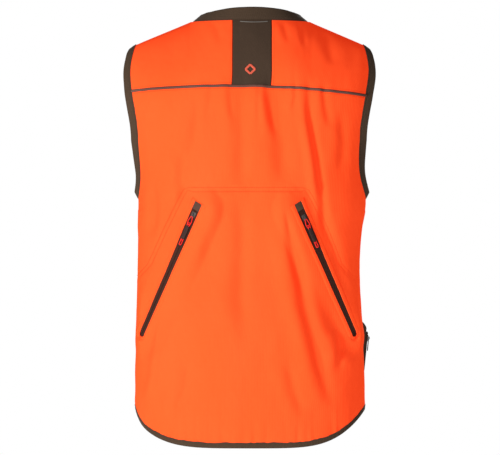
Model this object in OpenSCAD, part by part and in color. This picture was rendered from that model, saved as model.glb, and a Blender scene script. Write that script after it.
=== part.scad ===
// Blaze orange field vest: sleeveless, zip front, rear game pocket entered through two slanted zips.
// Origin: centre of the neck opening at the level where the shoulders carry the garment.
// +Z up, front faces -Y, the wearer's left is +X. Everything hangs below the origin.

/* [Body] */
// Half width of the body at the waist
waist_half_w = 185; // [182:1:188]
// Half depth of the back below the shoulder blades
back_depth = 119; // [117:0.5:121]
// Half depth of the front along the zip
front_depth = 118; // [116:0.5:121]
// Roundness of the body section, 2 is an ellipse
section_power = 2.3; // [2.2:0.05:2.4]
// Thickness of a shell panel with its lining
cloth = 2; // [1.6:0.1:2.2]
// How far the front hem is above the lowest point of the back hem
hem_rise = 60; // [56:1:64]

/* [Shoulders and neck] */
// Height of the neck seam above the lowest point of the hem
seat_h = 702; // [700:0.5:704]
// Half width of the neck opening at the shoulder
neck_half_w = 100; // [98:1:102]
// Half width across the shoulder tips
tip_half_w = 185; // [183:0.5:187]
// Drop of the shoulder from the neck to the tip
shoulder_drop = 38; // [36:1:40]
// Height of the front neck seam above the hem
front_neck_h = 620; // [616:1:624]
// Height of the yoke seam above the hem, at the centre back
yoke_h = 594.5; // [590:0.5:598]
// Half width of the brown panel in the middle of the yoke
yoke_panel_half_w = 32.5; // [30:0.5:36]

/* [Armholes] */
// Height of the armpit above the hem
armpit_h = 410; // [406:1:414]
// Width of the armhole binding
arm_binding_w = 12.4; // [10:0.2:13]
// Width of the elastic hem binding
hem_binding_w = 9.5; // [8:0.5:11]

/* [Back zips] */
// Distance of a back zip's upper end from the pocket's middle
back_zip_top_x = 84; // [82:1:86]
// Height of a back zip's upper end above the hem
back_zip_top_h = 391; // [388:1:393]
// Distance of a back zip's lower end from the pocket's middle
back_zip_low_x = 175; // [174:0.5:176]
// Height of a back zip's lower end above the hem
back_zip_low_h = 183; // [181:1:187]
// How far the pocket's middle sits to the wearer's left
back_zip_shift = 3.5; // [2:0.5:4]

/* [Hidden] */

BACK = 1;
FRONT = -1;
LEFT = 1;
RIGHT = -1;
ORANGE = [1, 0.4, 0.12];
BROWN = [0.3, 0.24, 0.19];
seam_gap = 0.2;        // half the gap left where two panels meet
shoulder_round = 110;  // height over which the body closes towards the shoulder line
neck_rise = 40;        // how far the closing surface would still rise inside the neck
hem_sweep = 4.7;       // how late the back hem turns up towards the side seams
arm_mid_h = 537;       // height of the middle of an armhole
arm_reach = arm_mid_h - armpit_h;
tip_h = seat_h - shoulder_drop;

// ---- Surface of the worn garment: heights h are counted from the lowest point of the hem ----

function clamp01(t) = min(1, max(0, t));
function smooth(t) = let (c = clamp01(t)) c * c * (3 - 2 * c);
function bell(h, centre, width) = exp(-pow((h - centre) / width, 2));
function half_w(h) = waist_half_w + 5.5 * bell(h, 95, 85) + 30 * smooth((h - 400) / 230);
function half_d(side, h) = side == BACK
    ? back_depth - 14 * bell(h, 291, 62) + 4 * bell(h, 460, 70) - 24 * smooth((h - 560) / 144)
    : front_depth;
function section(ratio) =
    pow(1 - pow(min(1, abs(ratio)), section_power), 1 / section_power);

// Height of the shoulder line over a place across the body.
function shoulder_line(x) = abs(x) > neck_half_w
    ? seat_h - (abs(x) - neck_half_w) * shoulder_drop / (tip_half_w - neck_half_w)
    : seat_h + neck_rise * (1 - pow(x / neck_half_w, 2));
function closing(x, h) =
    let (t = clamp01((shoulder_line(x) - h) / shoulder_round)) sqrt(1 - pow(1 - t, 2));
function round_depth(side, x, h) =
    half_d(side, h) * section(x / half_w(h)) * closing(x, h);

// Each back zip lies on a flat vertical strip that the back panel blends into.
zip_slope = 0.64;      // fall of that strip's depth per millimetre towards the side
zip_top_y = round_depth(BACK, back_zip_top_x, back_zip_top_h);
zip_flat = 20;
zip_fade = 26;
function zip_distance(x, h) =
    let (
        run = [back_zip_low_x - back_zip_top_x, back_zip_low_h - back_zip_top_h],
        to = [abs(x - back_zip_shift) - back_zip_top_x, h - back_zip_top_h],
        t = clamp01(run * to / (run * run))
    ) norm(to - run * t);
function zip_share(x, h) =
    (1 - smooth((zip_distance(x, h) - zip_flat) / zip_fade))
    * smooth((1 - abs(x) / half_w(h)) / 0.045);
function depth(side, x, h) =
    let (d = round_depth(side, x, h))
    side == FRONT ? d
    : let (
        w = zip_share(x, h),
        flat_d = zip_top_y - zip_slope * (abs(x - back_zip_shift) - back_zip_top_x)
    ) d + (flat_d - d) * w;
function skin(side, x, h) = [x, side * (seam_gap + depth(side, x, h)), h];

// Edge of a panel across the body: the side seam, then the armhole.
function arm_ellipse(h, reach) = reach * sqrt(max(0, 1 - pow((h - arm_mid_h) / arm_reach, 2)));
arm_join_h = 505;
arm_wide_h = 620;
function edge_x(side, h) =
    h <= armpit_h ? half_w(h)
    : h < arm_join_h ? half_w(h) * section(arm_ellipse(h, side == BACK ? 60 : 70) / half_d(side, h))
    : (h < arm_wide_h ? 195 - 13.5 * smooth((arm_wide_h - h) / (arm_wide_h - arm_join_h))
        : 195 - (195 - tip_half_w) * pow(min(1, (h - arm_wide_h) / (tip_h - arm_wide_h)), 2))
      - (side == FRONT ? 14 * max(0, 1 - pow((h - 560) / 104, 2)) : 0);

function hem_h(side, x) =
    let (r = min(1, abs(x) / half_w(hem_rise)))
    side == BACK ? hem_rise * pow(r, hem_sweep) : hem_rise - 8 * (1 - r * r);
function yoke_seam_h(x) = yoke_h + 0.02 * x - 11 * pow(x / 190, 2);
function neck_h(side, x) =
    let (r = min(1, abs(x) / neck_half_w))
    side == BACK ? seat_h + 1 - r * r
    : front_neck_h + (seat_h - front_neck_h) * pow(r, 2.2);
function top_h(side, x) = abs(x) < neck_half_w ? neck_h(side, x) : shoulder_line(x);

// ---- Builders ----

function unit(v) = v / norm(v);
function grid_normal(g, i, j) =
    let (n = len(g) - 1, m = len(g[0]) - 1)
    unit(cross(
        g[min(i + 1, n)][j] - g[max(i - 1, 0)][j],
        g[i][min(j + 1, m)] - g[i][max(j - 1, 0)]
    ));
function flipped(g) = [for (i = [len(g) - 1:-1:0]) g[i]];

// A closed skin from a grid of outer points, thickened against the grid's normals.
module sheet(g, thick) {
    n = len(g) - 1;
    m = len(g[0]) - 1;
    w = m + 1;
    inner = w * (n + 1);
    points = concat(
        [for (i = [0:n]) for (j = [0:m]) g[i][j]],
        [for (i = [0:n]) for (j = [0:m]) g[i][j] - thick * grid_normal(g, i, j)]
    );
    faces = concat(
        [for (i = [0:n - 1]) for (j = [0:m - 1]) let (o = i * w + j) each [
            [o, o + 1, o + w + 1], [o, o + w + 1, o + w],
            [inner + o, inner + o + w + 1, inner + o + 1],
            [inner + o, inner + o + w, inner + o + w + 1]
        ]],
        [for (j = [0:m - 1]) let (o = j, p = n * w + j) each [
            [o + 1, o, inner + o], [o + 1, inner + o, inner + o + 1],
            [p, p + 1, inner + p + 1], [p, inner + p + 1, inner + p]
        ]],
        [for (i = [0:n - 1]) let (o = i * w, p = i * w + m) each [
            [o, o + w, inner + o + w], [o, inner + o + w, inner + o],
            [p + w, p, inner + p], [p + w, inner + p, inner + p + w]
        ]]
    );
    at_shoulders() polyhedron(points, faces);
}

// A swept skin through rings of points; a looped one has no end caps.
module swept(rings, looped = false) {
    n = len(rings);
    k = len(rings[0]);
    last = looped ? n - 1 : n - 2;
    sides = [for (i = [0:last]) for (j = [0:k - 1])
        let (a = i * k, b = ((i + 1) % n) * k, q = (j + 1) % k) each [
            [a + j, b + j, b + q], [a + j, b + q, a + q]
        ]];
    caps = looped ? [] : [
        [for (j = [0:k - 1]) j],
        [for (j = [k - 1:-1:0]) (n - 1) * k + j]
    ];
    at_shoulders() polyhedron([for (r = rings) each r], concat(sides, caps));
}

// Points of a flattened round section about p, wide along w and thin along t.
function oval(p, w, t, half_wide, half_thin, count) =
    [for (j = [0:count - 1]) let (a = 360 * j / count + 180 / count)
        p + half_wide * cos(a) * w + half_thin * sin(a) * t];

module at_shoulders() {
    translate([0, 0, -seat_h]) children();
}

module mirrored(side) {
    if (side == LEFT) children();
    else mirror([1, 0, 0]) children();
}

module rounded_plate(w, l, r, thick) {
    rotate([90, 0, 0]) linear_extrude(thick, center = true) union() {
        square([w - 2 * r, l], center = true);
        square([w, l - 2 * r], center = true);
        for (sx = [-1, 1]) for (sz = [-1, 1])
            translate([sx * (w / 2 - r), sz * (l / 2 - r)]) circle(r, $fn = 24);
    }
}

// ---- Shell panels ----

back_cols = 22;
low_rows = 12;
arm_rows = 11;
arm_sweep = 110;       // how far round the armhole the back panel's edge runs
hem_clear = 1.4;       // room between the back panel and the hem binding
piping_clear = 1.9;    // room between a cloth edge and the middle of the piping
function back_rows(x_top, side_x) =
    let (
        low = hem_h(BACK, side_x) + hem_binding_w + hem_clear,
        top = yoke_seam_h(x_top) - piping_clear,
        span = 1 - cos(arm_sweep)
    ) concat(
        [for (i = [0:low_rows - 1]) low + (armpit_h - low) * i / low_rows],
        [for (i = [0:arm_rows]) armpit_h
            + (top - armpit_h) * (1 - cos(arm_sweep * i / arm_rows)) / span]
    );
back_grid = [for (j = [0:back_cols])
    let (
        f = sin(90 * (2 * j / back_cols - 1)),
        rows = back_rows(f * 190, f * half_w(hem_rise))
    ) [for (h = rows) skin(BACK, f * edge_x(BACK, h), h)]];

module back_panel() {
    color(ORANGE) sheet(flipped(back_grid), cloth);
}

neck_share = (neck_half_w - yoke_panel_half_w) / (tip_half_w - yoke_panel_half_w);
yoke_shares = concat(
    [for (j = [0:4]) neck_share * j / 4],
    [for (j = [1:5]) neck_share + (1 - neck_share) * j / 5]
);
yoke_rows = 8;
function yoke_height(x_low, x_top, i) =
    let (low = yoke_seam_h(x_low) + piping_clear, w = i / yoke_rows)
    low + (top_h(BACK, x_top) - low) * (1 - pow(1 - w, 2));
function yoke_grid(side) =
    let (x0 = yoke_panel_half_w + seam_gap)
    [for (f = yoke_shares) [for (i = [0:yoke_rows])
        let (
            h = yoke_height(side * (x0 + (190 - x0) * f), x0 + (tip_half_w - x0) * f, i)
        ) skin(BACK, side * (x0 + (edge_x(BACK, h) - x0) * f), h)]];

module back_yoke(side) {
    grid = yoke_grid(side);
    color(ORANGE) sheet(side == LEFT ? flipped(grid) : grid, cloth);
}

module yoke_centre_panel() {
    x0 = yoke_panel_half_w - seam_gap;
    grid = [for (j = [0:6]) let (x = x0 * (1 - j / 3))
        [for (i = [0:yoke_rows]) skin(BACK, x, yoke_height(x, x, i))]];
    color(BROWN) sheet(grid, cloth);
}

// A plain lozenge sewn to the middle of the yoke panel.
module yoke_emblem() {
    h = 621;
    size = 21;
    rise = half_d(BACK, h + 5) - half_d(BACK, h - 5);
    tilt = atan(rise / 10);
    color([0.93, 0.42, 0.33]) at_shoulders()
        translate([0, seam_gap + half_d(BACK, h) + 0.8, h]) rotate([-tilt, 0, 0])
        rotate([90, 0, 0]) linear_extrude(0.7, center = true) difference() {
            rotate(45) square(size * 0.7, center = true);
            rotate(45) square(size * 0.36, center = true);
        }
}

module yoke_piping() {
    r = 1.7;
    reach = edge_x(BACK, yoke_h - 11) - 1;
    count = 40;
    route = [for (i = [0:count]) let (x = reach * (1 - 2 * i / count))
        skin(BACK, x, yoke_seam_h(x))];
    rings = [for (i = [0:count])
        let (along = unit(route[min(i + 1, count)] - route[max(i - 1, 0)]),
            up = [0, 0, 1], out = unit(cross(along, up)))
        oval(route[i], unit(cross(out, along)), out, r, r, 6)];
    color([0.25, 0.2, 0.17]) swept(rings);
}

front_edge = 8;        // half the gap between the front panels, where the zip shows
front_low_rows = 9;
front_arm_rows = 16;
corner_share = asin((neck_half_w - front_edge) / (tip_half_w - front_edge)) / 90;
front_shares = concat(
    [for (j = [0:4]) corner_share * j / 4],
    [for (j = [1:7]) corner_share + (1 - corner_share) * j / 7]
);
function front_x(f, h) = front_edge + (edge_x(FRONT, h) - front_edge) * sin(90 * f);
front_grid = [for (f = front_shares)
    let (
        low = hem_h(FRONT, front_x(f, hem_rise)) + hem_binding_w + 0.4,
        top = top_h(FRONT, front_x(f, tip_h)),
        rows = concat(
            [for (i = [0:front_low_rows - 1]) low + (armpit_h - low) * i / front_low_rows],
            [for (i = [0:front_arm_rows]) armpit_h
                + (top - armpit_h) * (1 - cos(180 * i / front_arm_rows)) / 2]
        )
    ) [for (h = rows) skin(FRONT, front_x(f, h), h)]];

module front_panel(side) {
    color(ORANGE) mirrored(side) sheet(front_grid, cloth);
}

// ---- Collar and neck ----

collar_gap = 0.8;
collar_h = 24;
function neck_point(angle) =
    let (
        side = abs(angle) <= 90 ? BACK : FRONT,
        x = neck_half_w * sin(angle),
        p = skin(side, x, neck_h(side, x))
    ) p + [0, 0, collar_gap];
function collar_top(angle) =
    let (
        p = neck_point(angle),
        across = pow(sin(angle), 2),
        lean = abs(angle) <= 90 ? 10 + 10 * across : 20 * across,
        rise = abs(angle) <= 90 ? collar_h - 2 - 9 * across : collar_h - 11 * across,
        inward = -unit([p[0], p[1], 0])
    ) p + inward * lean + [0, 0, rise];
collar_end = 180 - asin(front_edge / neck_half_w);

module collar() {
    cols = 44;
    rows = 4;
    grid = [for (j = [0:cols]) let (
            angle = collar_end * (2 * j / cols - 1),
            low = neck_point(angle), high = collar_top(angle)
        ) [for (i = [0:rows]) low + (high - low) * i / rows]];
    color(BROWN) sheet(flipped(grid), cloth);
}

module neck_seam_tape() {
    lift = 0.5;
    thin = 0.7;
    grid = [for (j = [0:6]) let (x = 25 * (1 - j / 3)) [for (i = [0:1])
        skin(BACK, x, seat_h - 2.4 + 1.8 * i) + [0, lift + thin, 0]]];
    color([0.7, 0.68, 0.65]) sheet(grid, thin);
}

module hanger_loop() {
    color(BROWN) translate([0, 67, -8]) difference() {
        rounded_plate(36, 14, 5, 1.2);
        rounded_plate(28, 7, 3, 2);
    }
}

module size_label() {
    color([0.15, 0.14, 0.13]) translate([0, 84.6, -26]) rotate([28, 0, 0])
        rounded_plate(36, 26, 1.5, 0.6);
}

// ---- Bindings ----

function arm_point(turn) =
    let (
        side = turn <= 180 ? BACK : FRONT,
        h = arm_mid_h - arm_reach * cos(turn)
    ) skin(side, edge_x(side, h), h);
// Direction in the cloth, out of the panel and into the armhole.
function arm_along(turn) = unit(arm_point(turn + 1.5) - arm_point(turn - 1.5));
function arm_outward(turn) =
    let (
        high = pow(sin(turn / 2), 2),
        along = arm_along(turn),
        raw = 0.55 * cross(unit([1, 0, 0.5 * high]), along) + high * [0.9, 0, -0.35]
    ) unit(raw - along * (raw * along));

arm_rings = 48;
module armhole_binding(side) {
    rings = [for (i = [0:arm_rings - 1])
        let (
            turn = 360 * (i + 0.5) / arm_rings,
            w = arm_outward(turn),
            t = cross(arm_along(turn), w)
        ) oval(arm_point(turn) + w * (arm_binding_w / 2 + 0.5), w, t, arm_binding_w / 2, 1.6, 8)];
    color(BROWN) mirrored(side) swept(rings, looped = true);
}

function hem_point(angle, up) =
    let (
        side = abs(angle) <= 90 ? BACK : FRONT,
        h = hem_h(side, half_w(hem_rise) * sin(angle)) + up
    ) skin(side, half_w(h) * sin(angle), h);
hem_end = 180 - asin(front_edge / half_w(hem_rise));

module hem_binding() {
    cols = 60;
    half = cols / 2;
    lift = 0.8;
    grid = [for (j = [0:cols])
        let (
            s = j / half - 1,
            angle = hem_end * s,
            low = hem_point(angle, 0), high = hem_point(angle, hem_binding_w),
            out = unit([low[0] * 0.4, low[1], 0])
        ) [low + out * lift, high + out * lift]];
    color(BROWN) sheet(flipped(grid), 3);
}

// ---- Pockets ----

module game_bag() {
    cols = 14;
    rows = 12;
    inset = 9.2;
    grid = [for (j = [0:cols]) let (f = 0.96 * sin(80 * (2 * j / cols - 1)))
        [for (i = [0:rows])
            let (
                low = hem_h(BACK, f * half_w(hem_rise)) + 14,
                h = low + (430 - low) * i / rows,
                p = skin(BACK, f * half_w(h), h),
                out = unit([p[0] * 0.4, p[1], 0])
            ) p - out * inset - [sign(f) * 4 * f * f, 0, 0]]];
    color(BROWN) sheet(flipped(grid), 1);
}

pocket_low_h = 76;
pocket_top_h = 216;
pocket_front_x = 66;
pocket_swell = 16;
pocket_wall = 1.6;
pocket_rest = 1.2;                       // clearance between a pocket and its panel
pocket_zip_half = 11;                    // half the width of the flat strip under the zip
pocket_zip_top_h = 186;
pocket_zip_low_h = 96;
function pocket_face_x(side) = side == LEFT ? 182 : 193.5;   // at the zip's upper end
function pocket_zip_y(side) = side == LEFT ? -62 : -56;
function pocket_lean(side) = side == LEFT ? 0 : 5.7;         // the lower end leans in

function side_x(y, h) = half_w(h) * section((abs(y) - seam_gap) / front_depth);
function out_dir(x, y) = unit([x * 0.3, y, 0]);
module cargo_pocket(side) {
    rows = 14;
    zip_y = pocket_zip_y(side);
    x_far = side_x(zip_y - pocket_zip_half - 8, 150);
    lift = pocket_rest + pocket_wall;
    front_part = [0, 0.06, 0.2, 0.45, 0.7, 0.9];
    grid = [for (i = [0:rows])
        let (
            h = pocket_low_h + (pocket_top_h - pocket_low_h) * i / rows,
            full = smooth((h - pocket_low_h) / 18) * smooth((pocket_top_h - h) / 24),
            face_x = pocket_face_x(side) + tan(pocket_lean(side)) * (h - pocket_zip_top_h),
            near_y = zip_y - pocket_zip_half,
            rear_y = zip_y + pocket_zip_half,
            end_y = min(-2, rear_y + 8)
        ) concat(
            [for (f = front_part)
                let (
                    x = pocket_front_x + (x_far - pocket_front_x) * f,
                    p = skin(FRONT, x, h),
                    swell = pocket_swell * full * smooth(f / 0.2) * (0.75 + 0.25 * smooth(1 - f))
                ) p + out_dir(p[0], p[1]) * (lift + swell)],
            [for (y = [near_y, zip_y, rear_y]) let (x0 = side_x(y, h) + lift)
                [x0 + max(0, face_x - x0) * full, y, h]],
            [[side_x(end_y, h) + lift, end_y, h]]
        )];
    color(BROWN) mirrored(side) sheet(flipped(grid), pocket_wall);
}

// ---- Zips: local x runs across the tape, y stands out from the cloth, z runs up the zip ----

module zip_tapes(length, gap, wide, y, thick, sides = [-1, 1]) {
    for (s = sides)
        translate([s * (gap + wide) / 2, y, -length / 2])
            cube([wide - gap, thick, length], center = true);
}

// One row of elements as a comb: the flat spine lies outward, the elements point inward.
module zip_row(length, gap, wide, y, thick, pitch, s) {
    count = floor(length / pitch);
    bite = (wide - gap) * 0.45;
    outline = concat(
        [[wide, -count * pitch], [wide, 0]],
        [for (i = [0:count - 1]) each [
            [gap, -i * pitch], [gap, -(i + 0.55) * pitch],
            [gap + bite, -(i + 0.55) * pitch], [gap + bite, -(i + 1) * pitch]
        ]]
    );
    translate([0, y, 0]) rotate([90, 0, 0]) linear_extrude(thick, center = true)
        polygon([for (p = outline) [s * p[0], p[1]]]);
}

// Two plates joined by a post, with a crown for the puller.
module zip_slider(w, l, under_y, over_y, plate, post, crown) {
    translate([0, over_y + plate / 2, 0]) rounded_plate(w, l, w * 0.3, plate);
    translate([0, under_y - plate / 2, 0]) rounded_plate(w, l, w * 0.3, plate);
    translate([0, (under_y + over_y) / 2, l / 2 - post * 2.2])
        cube([post, over_y - under_y + 0.02, post * 3], center = true);
    crown_y = over_y + plate;
    difference() {
        translate([0, crown_y + crown[1] / 2 - 0.01, 0])
            cube([crown[0], crown[1] + 0.02, crown[2]], center = true);
        translate([0, crown_y + crown[3] / 2, 0])
            cube([crown[0] + 2, crown[3], crown[4]], center = true);
    }
}

module bar_x(y, z, half, r) {
    translate([-half, y, z]) rotate([0, 90, 0]) cylinder(h = 2 * half, r = r, $fn = 24);
}

module leg_z(x, y, top, low, r) {
    translate([x, y, low]) cylinder(h = top - low, r = r, $fn = 24);
}

// ---- Front zip ----

front_zip_top_h = 643;
front_zip_low_h = 63;
front_zip_gap = 1;
front_slider_h = 627;
front_tape_y = -3.15;
module front_frame(h) {
    at_shoulders() translate([0, -front_depth - seam_gap, h]) rotate([0, 0, 180]) children();
}

module front_zip_tape(side) {
    color(BROWN) front_frame(front_zip_top_h)
        zip_tapes(front_zip_top_h - front_zip_low_h, front_zip_gap, 15, front_tape_y, 0.5, [-side]);
}

module front_zip_teeth(side) {
    for (face = [-1, 1])
        color(BROWN) front_frame(front_zip_top_h - 5)
            zip_row(front_zip_top_h - front_zip_low_h - 16, front_zip_gap, 4,
                front_tape_y + face * 0.95, 1.2, 4, -side);
}

module front_zip_top_stops() {
    color([0.2, 0.17, 0.15]) for (s = [-1, 1]) front_frame(front_zip_top_h - 2.2)
        translate([s * 2.6, front_tape_y + 1.15, 0]) cube([2.8, 1.6, 3.4], center = true);
}

front_pin_x = 2.3;
module front_zip_box() {
    color([0.2, 0.17, 0.15]) front_frame(front_zip_low_h - 4.4) difference() {
        translate([0, front_tape_y, 0]) cube([9.5, 4.4, 8], center = true);
        for (s = [-1, 1]) translate([s * front_pin_x, front_tape_y, -3])
            cylinder(h = 8, r = 1.05, $fn = 32);
    }
}

module front_zip_pins() {
    color([0.2, 0.17, 0.15]) front_frame(front_zip_low_h - 7.2) for (s = [-1, 1])
        translate([s * front_pin_x, front_tape_y, 0]) cylinder(h = 7, r = 1, $fn = 32);
}

front_crown = [2.4, 3.2, 8, 2.2, 5.2];
front_hinge_y = 1.2;
module front_zip_slider() {
    color([0.13, 0.12, 0.12]) front_frame(front_slider_h)
        zip_slider(11.6, 15, -5, -1.2, 1.3, 1.3, front_crown);
}

module front_zip_puller() {
    color([0.13, 0.12, 0.12]) front_frame(front_slider_h) {
        bar_x(front_hinge_y, 0, 3.8, 0.85);
        for (s = [-1, 1]) leg_z(s * 2.9, front_hinge_y, 0, -12, 0.75);
        difference() {
            translate([0, front_hinge_y, -23]) rounded_plate(8, 24, 3, 1.7);
            translate([0, front_hinge_y - 2, -30]) rotate([-90, 0, 0])
                cylinder(h = 4, r = 1.6, $fn = 24);
        }
    }
}

module front_facing(side) {
    color(BROWN) front_frame(0) translate([-side * 22.5, -4.15, 337])
        cube([27, 0.9, 546], center = true);
}

// ---- Back zips ----

zip_turn = atan(zip_slope);
zip_run = (back_zip_low_x - back_zip_top_x) / cos(zip_turn);
zip_fall = back_zip_top_h - back_zip_low_h;
zip_lean = atan(zip_run / zip_fall);
back_zip_len = norm([zip_run, zip_fall]);
coil_gap = 0.7;
coil_y = 2.05;
tape_y = 3;
slider_under_y = 1.42;
slider_over_y = 3.5;
slider_plate = 0.8;
slider_w = 8.4;
slider_l = 11;
slider_post = 1;
slider_crown = [2, 2.8, 7, 1.9, 4.4];
pull_y = slider_over_y + slider_plate + 0.98;
// Rest place of a slider below its zip's upper end.
function back_slider_z(side) = side == LEFT ? -10 : -15;
module back_frame(side, z) {
    translate([back_zip_shift, 0, 0]) mirrored(side) at_shoulders()
        translate([back_zip_top_x, zip_top_y + seam_gap, back_zip_top_h])
        rotate([0, 0, -zip_turn]) rotate([0, -zip_lean, 0]) translate([0, 0, z]) children();
}

module back_zip_tape(side) {
    color(BROWN) back_frame(side, 0) zip_tapes(back_zip_len, coil_gap, 8, tape_y, 0.6);
}

module back_zip_coil(side) {
    color([0.22, 0.18, 0.15]) back_frame(side, -9) for (s = [-1, 1])
        zip_row(back_zip_len - 12, coil_gap, 3.2, coil_y, 1.1, 3, s);
}

module back_zip_garage(side) {
    color([0.45, 0.35, 0.27]) back_frame(side, 6.6) translate([0, tape_y - 0.6, 0])
        rounded_plate(17, 12.4, 2, 2);
}

module back_zip_slider(side) {
    color([0.16, 0.15, 0.15]) back_frame(side, back_slider_z(side))
        zip_slider(slider_w, slider_l, slider_under_y, slider_over_y, slider_plate,
            slider_post, slider_crown);
}

cord_r = 0.85;
leg_r = 0.7;
module back_zip_cord(side) {
    color([0.8, 0.12, 0.08]) back_frame(side, back_slider_z(side)) {
        bar_x(pull_y, 0, 3.6, cord_r);
        for (s = [-1, 1]) leg_z(s * 2.7, pull_y, 0, -19.8, leg_r);
        for (s = [-1, 1]) leg_z(s * 1.7, pull_y, -44.2, -55, leg_r);
        bar_x(pull_y, -55, 2.6, cord_r);
    }
}

module back_zip_grip(side) {
    color([0.28, 0.24, 0.21]) back_frame(side, back_slider_z(side))
        translate([0, pull_y, -32]) rounded_plate(7.6, 24, 2.4, 3.6);
}

// ---- Side pocket zips ----

pocket_zip_len = pocket_zip_top_h - pocket_zip_low_h;
module pocket_frame(side, z) {
    mirrored(side) at_shoulders()
        translate([pocket_face_x(side), pocket_zip_y(side), pocket_zip_top_h])
        rotate([0, pocket_lean(side), 0]) rotate([0, 0, -90]) translate([0, 0, z]) children();
}

module pocket_zip_tape(side) {
    color(BROWN) pocket_frame(side, 0) zip_tapes(pocket_zip_len, coil_gap, 6, tape_y, 0.6);
}

module pocket_zip_coil(side) {
    color([0.22, 0.18, 0.15]) pocket_frame(side, -3) for (s = [-1, 1])
        zip_row(pocket_zip_len - 6, coil_gap, 3.2, coil_y, 1.1, 3, s);
}

module pocket_zip_slider(side) {
    color([0.16, 0.15, 0.15]) pocket_frame(side, -9)
        zip_slider(slider_w, slider_l, slider_under_y, slider_over_y, slider_plate,
            slider_post, slider_crown);
}

module pocket_zip_puller(side) {
    color([0.7, 0.7, 0.7]) pocket_frame(side, -9) {
        bar_x(pull_y, 0, 3.3, cord_r);
        for (s = [-1, 1]) leg_z(s * 2.5, pull_y, 0, -9, leg_r);
        translate([0, pull_y, -15]) rounded_plate(6.6, 13, 2, 1.6);
    }
}

// ---- Nodes ----

back_panel();
back_yoke(LEFT);  // back_yoke_left
back_yoke(RIGHT);  // back_yoke_right
yoke_centre_panel();
yoke_emblem();
yoke_piping();
front_panel(LEFT);  // front_panel_left
front_panel(RIGHT);  // front_panel_right
collar();
neck_seam_tape();
hanger_loop();
size_label();
armhole_binding(LEFT);  // armhole_binding_left
armhole_binding(RIGHT);  // armhole_binding_right
hem_binding();
game_bag();
cargo_pocket(LEFT);  // cargo_pocket_left
cargo_pocket(RIGHT);  // cargo_pocket_right
front_facing(LEFT);  // front_facing_left
front_facing(RIGHT);  // front_facing_right
front_zip_tape(LEFT);  // front_zip_tape_left
front_zip_tape(RIGHT);  // front_zip_tape_right
front_zip_teeth(LEFT);  // front_zip_teeth_left
front_zip_teeth(RIGHT);  // front_zip_teeth_right
front_zip_top_stops();
front_zip_box();
front_zip_pins();
front_zip_slider();
front_zip_puller();
back_zip_tape(LEFT);  // back_zip_tape_left
back_zip_tape(RIGHT);  // back_zip_tape_right
back_zip_coil(LEFT);  // back_zip_coil_left
back_zip_coil(RIGHT);  // back_zip_coil_right
back_zip_garage(LEFT);  // back_zip_garage_left
back_zip_garage(RIGHT);  // back_zip_garage_right
back_zip_slider(LEFT);  // back_zip_slider_left
back_zip_slider(RIGHT);  // back_zip_slider_right
back_zip_cord(LEFT);  // back_zip_cord_left
back_zip_cord(RIGHT);  // back_zip_cord_right
back_zip_grip(LEFT);  // back_zip_grip_left
back_zip_grip(RIGHT);  // back_zip_grip_right
pocket_zip_tape(LEFT);  // pocket_zip_tape_left
pocket_zip_tape(RIGHT);  // pocket_zip_tape_right
pocket_zip_coil(LEFT);  // pocket_zip_coil_left
pocket_zip_coil(RIGHT);  // pocket_zip_coil_right
pocket_zip_slider(LEFT);  // pocket_zip_slider_left
pocket_zip_slider(RIGHT);  // pocket_zip_slider_right
pocket_zip_puller(LEFT);  // pocket_zip_puller_left
pocket_zip_puller(RIGHT);  // pocket_zip_puller_right
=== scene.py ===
"""Looks of the blaze orange vest: cloth panels, bindings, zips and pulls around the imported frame.

Lengths below are in millimetres and heights h are counted from the lowest point of the hem, as in
the part's own source; metres() turns such points into the frame's metres.
"""

import math

import bmesh
import bpy
import numpy as np
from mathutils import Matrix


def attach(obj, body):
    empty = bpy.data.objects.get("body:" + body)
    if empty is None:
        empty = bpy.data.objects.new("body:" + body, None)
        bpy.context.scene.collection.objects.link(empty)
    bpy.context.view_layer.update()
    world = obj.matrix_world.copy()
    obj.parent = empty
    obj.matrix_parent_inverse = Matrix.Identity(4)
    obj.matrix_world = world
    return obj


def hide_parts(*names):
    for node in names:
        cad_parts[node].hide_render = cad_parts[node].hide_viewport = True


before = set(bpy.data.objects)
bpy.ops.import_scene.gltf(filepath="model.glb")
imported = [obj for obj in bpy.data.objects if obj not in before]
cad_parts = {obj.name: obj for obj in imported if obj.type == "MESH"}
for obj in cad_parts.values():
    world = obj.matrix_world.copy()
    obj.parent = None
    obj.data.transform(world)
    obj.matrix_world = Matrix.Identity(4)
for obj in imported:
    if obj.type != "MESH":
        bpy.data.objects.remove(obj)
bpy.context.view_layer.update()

# ---------------------------------------------------------------- dimensions shared with the part

WAIST_HALF_W = 185.0
BACK_DEPTH = 119.0
FRONT_DEPTH = 118.0
POWER = 2.3
CLOTH = 2.0
HEM_RISE = 60.0
SEAT_H = 702.0
NECK_HALF_W = 100.0
TIP_HALF_W = 185.0
SHOULDER_DROP = 38.0
FRONT_NECK_H = 620.0
YOKE_H = 594.5
YOKE_REACH = 190.0
YOKE_PANEL_HALF_W = 32.5
ARMPIT_H = 410.0
ARM_MID_H = 537.0
ARM_LOW_H = 505.0
ARM_HIGH_H = 620.0
ARM_EDGE_X = 195.0
HEM_BINDING_W = 9.5
ZIP_TOP = (84.0, 391.0)
ZIP_LOW = (175.0, 183.0)
ZIP_SHIFT = 3.5
ZIP_SLOPE = 0.64
FRONT_EDGE = 8.0
SEAM_GAP = 0.2
NECK_RISE = 40.0
SHOULDER_ROUND = 110.0
ARM_REACH = ARM_MID_H - ARMPIT_H
TIP_H = SEAT_H - SHOULDER_DROP
BACK, FRONT = 1, -1
LEFT, RIGHT = 1, -1
SIDES = ((LEFT, "left"), (RIGHT, "right"))


def metres(p):
    """The frame's metres, from millimetres with heights above the hem."""
    p = np.asarray(p, float).copy()
    p[..., 2] -= SEAT_H
    return p * 0.001


def smooth(t):
    t = np.clip(t, 0, 1)
    return t * t * (3 - 2 * t)


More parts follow.
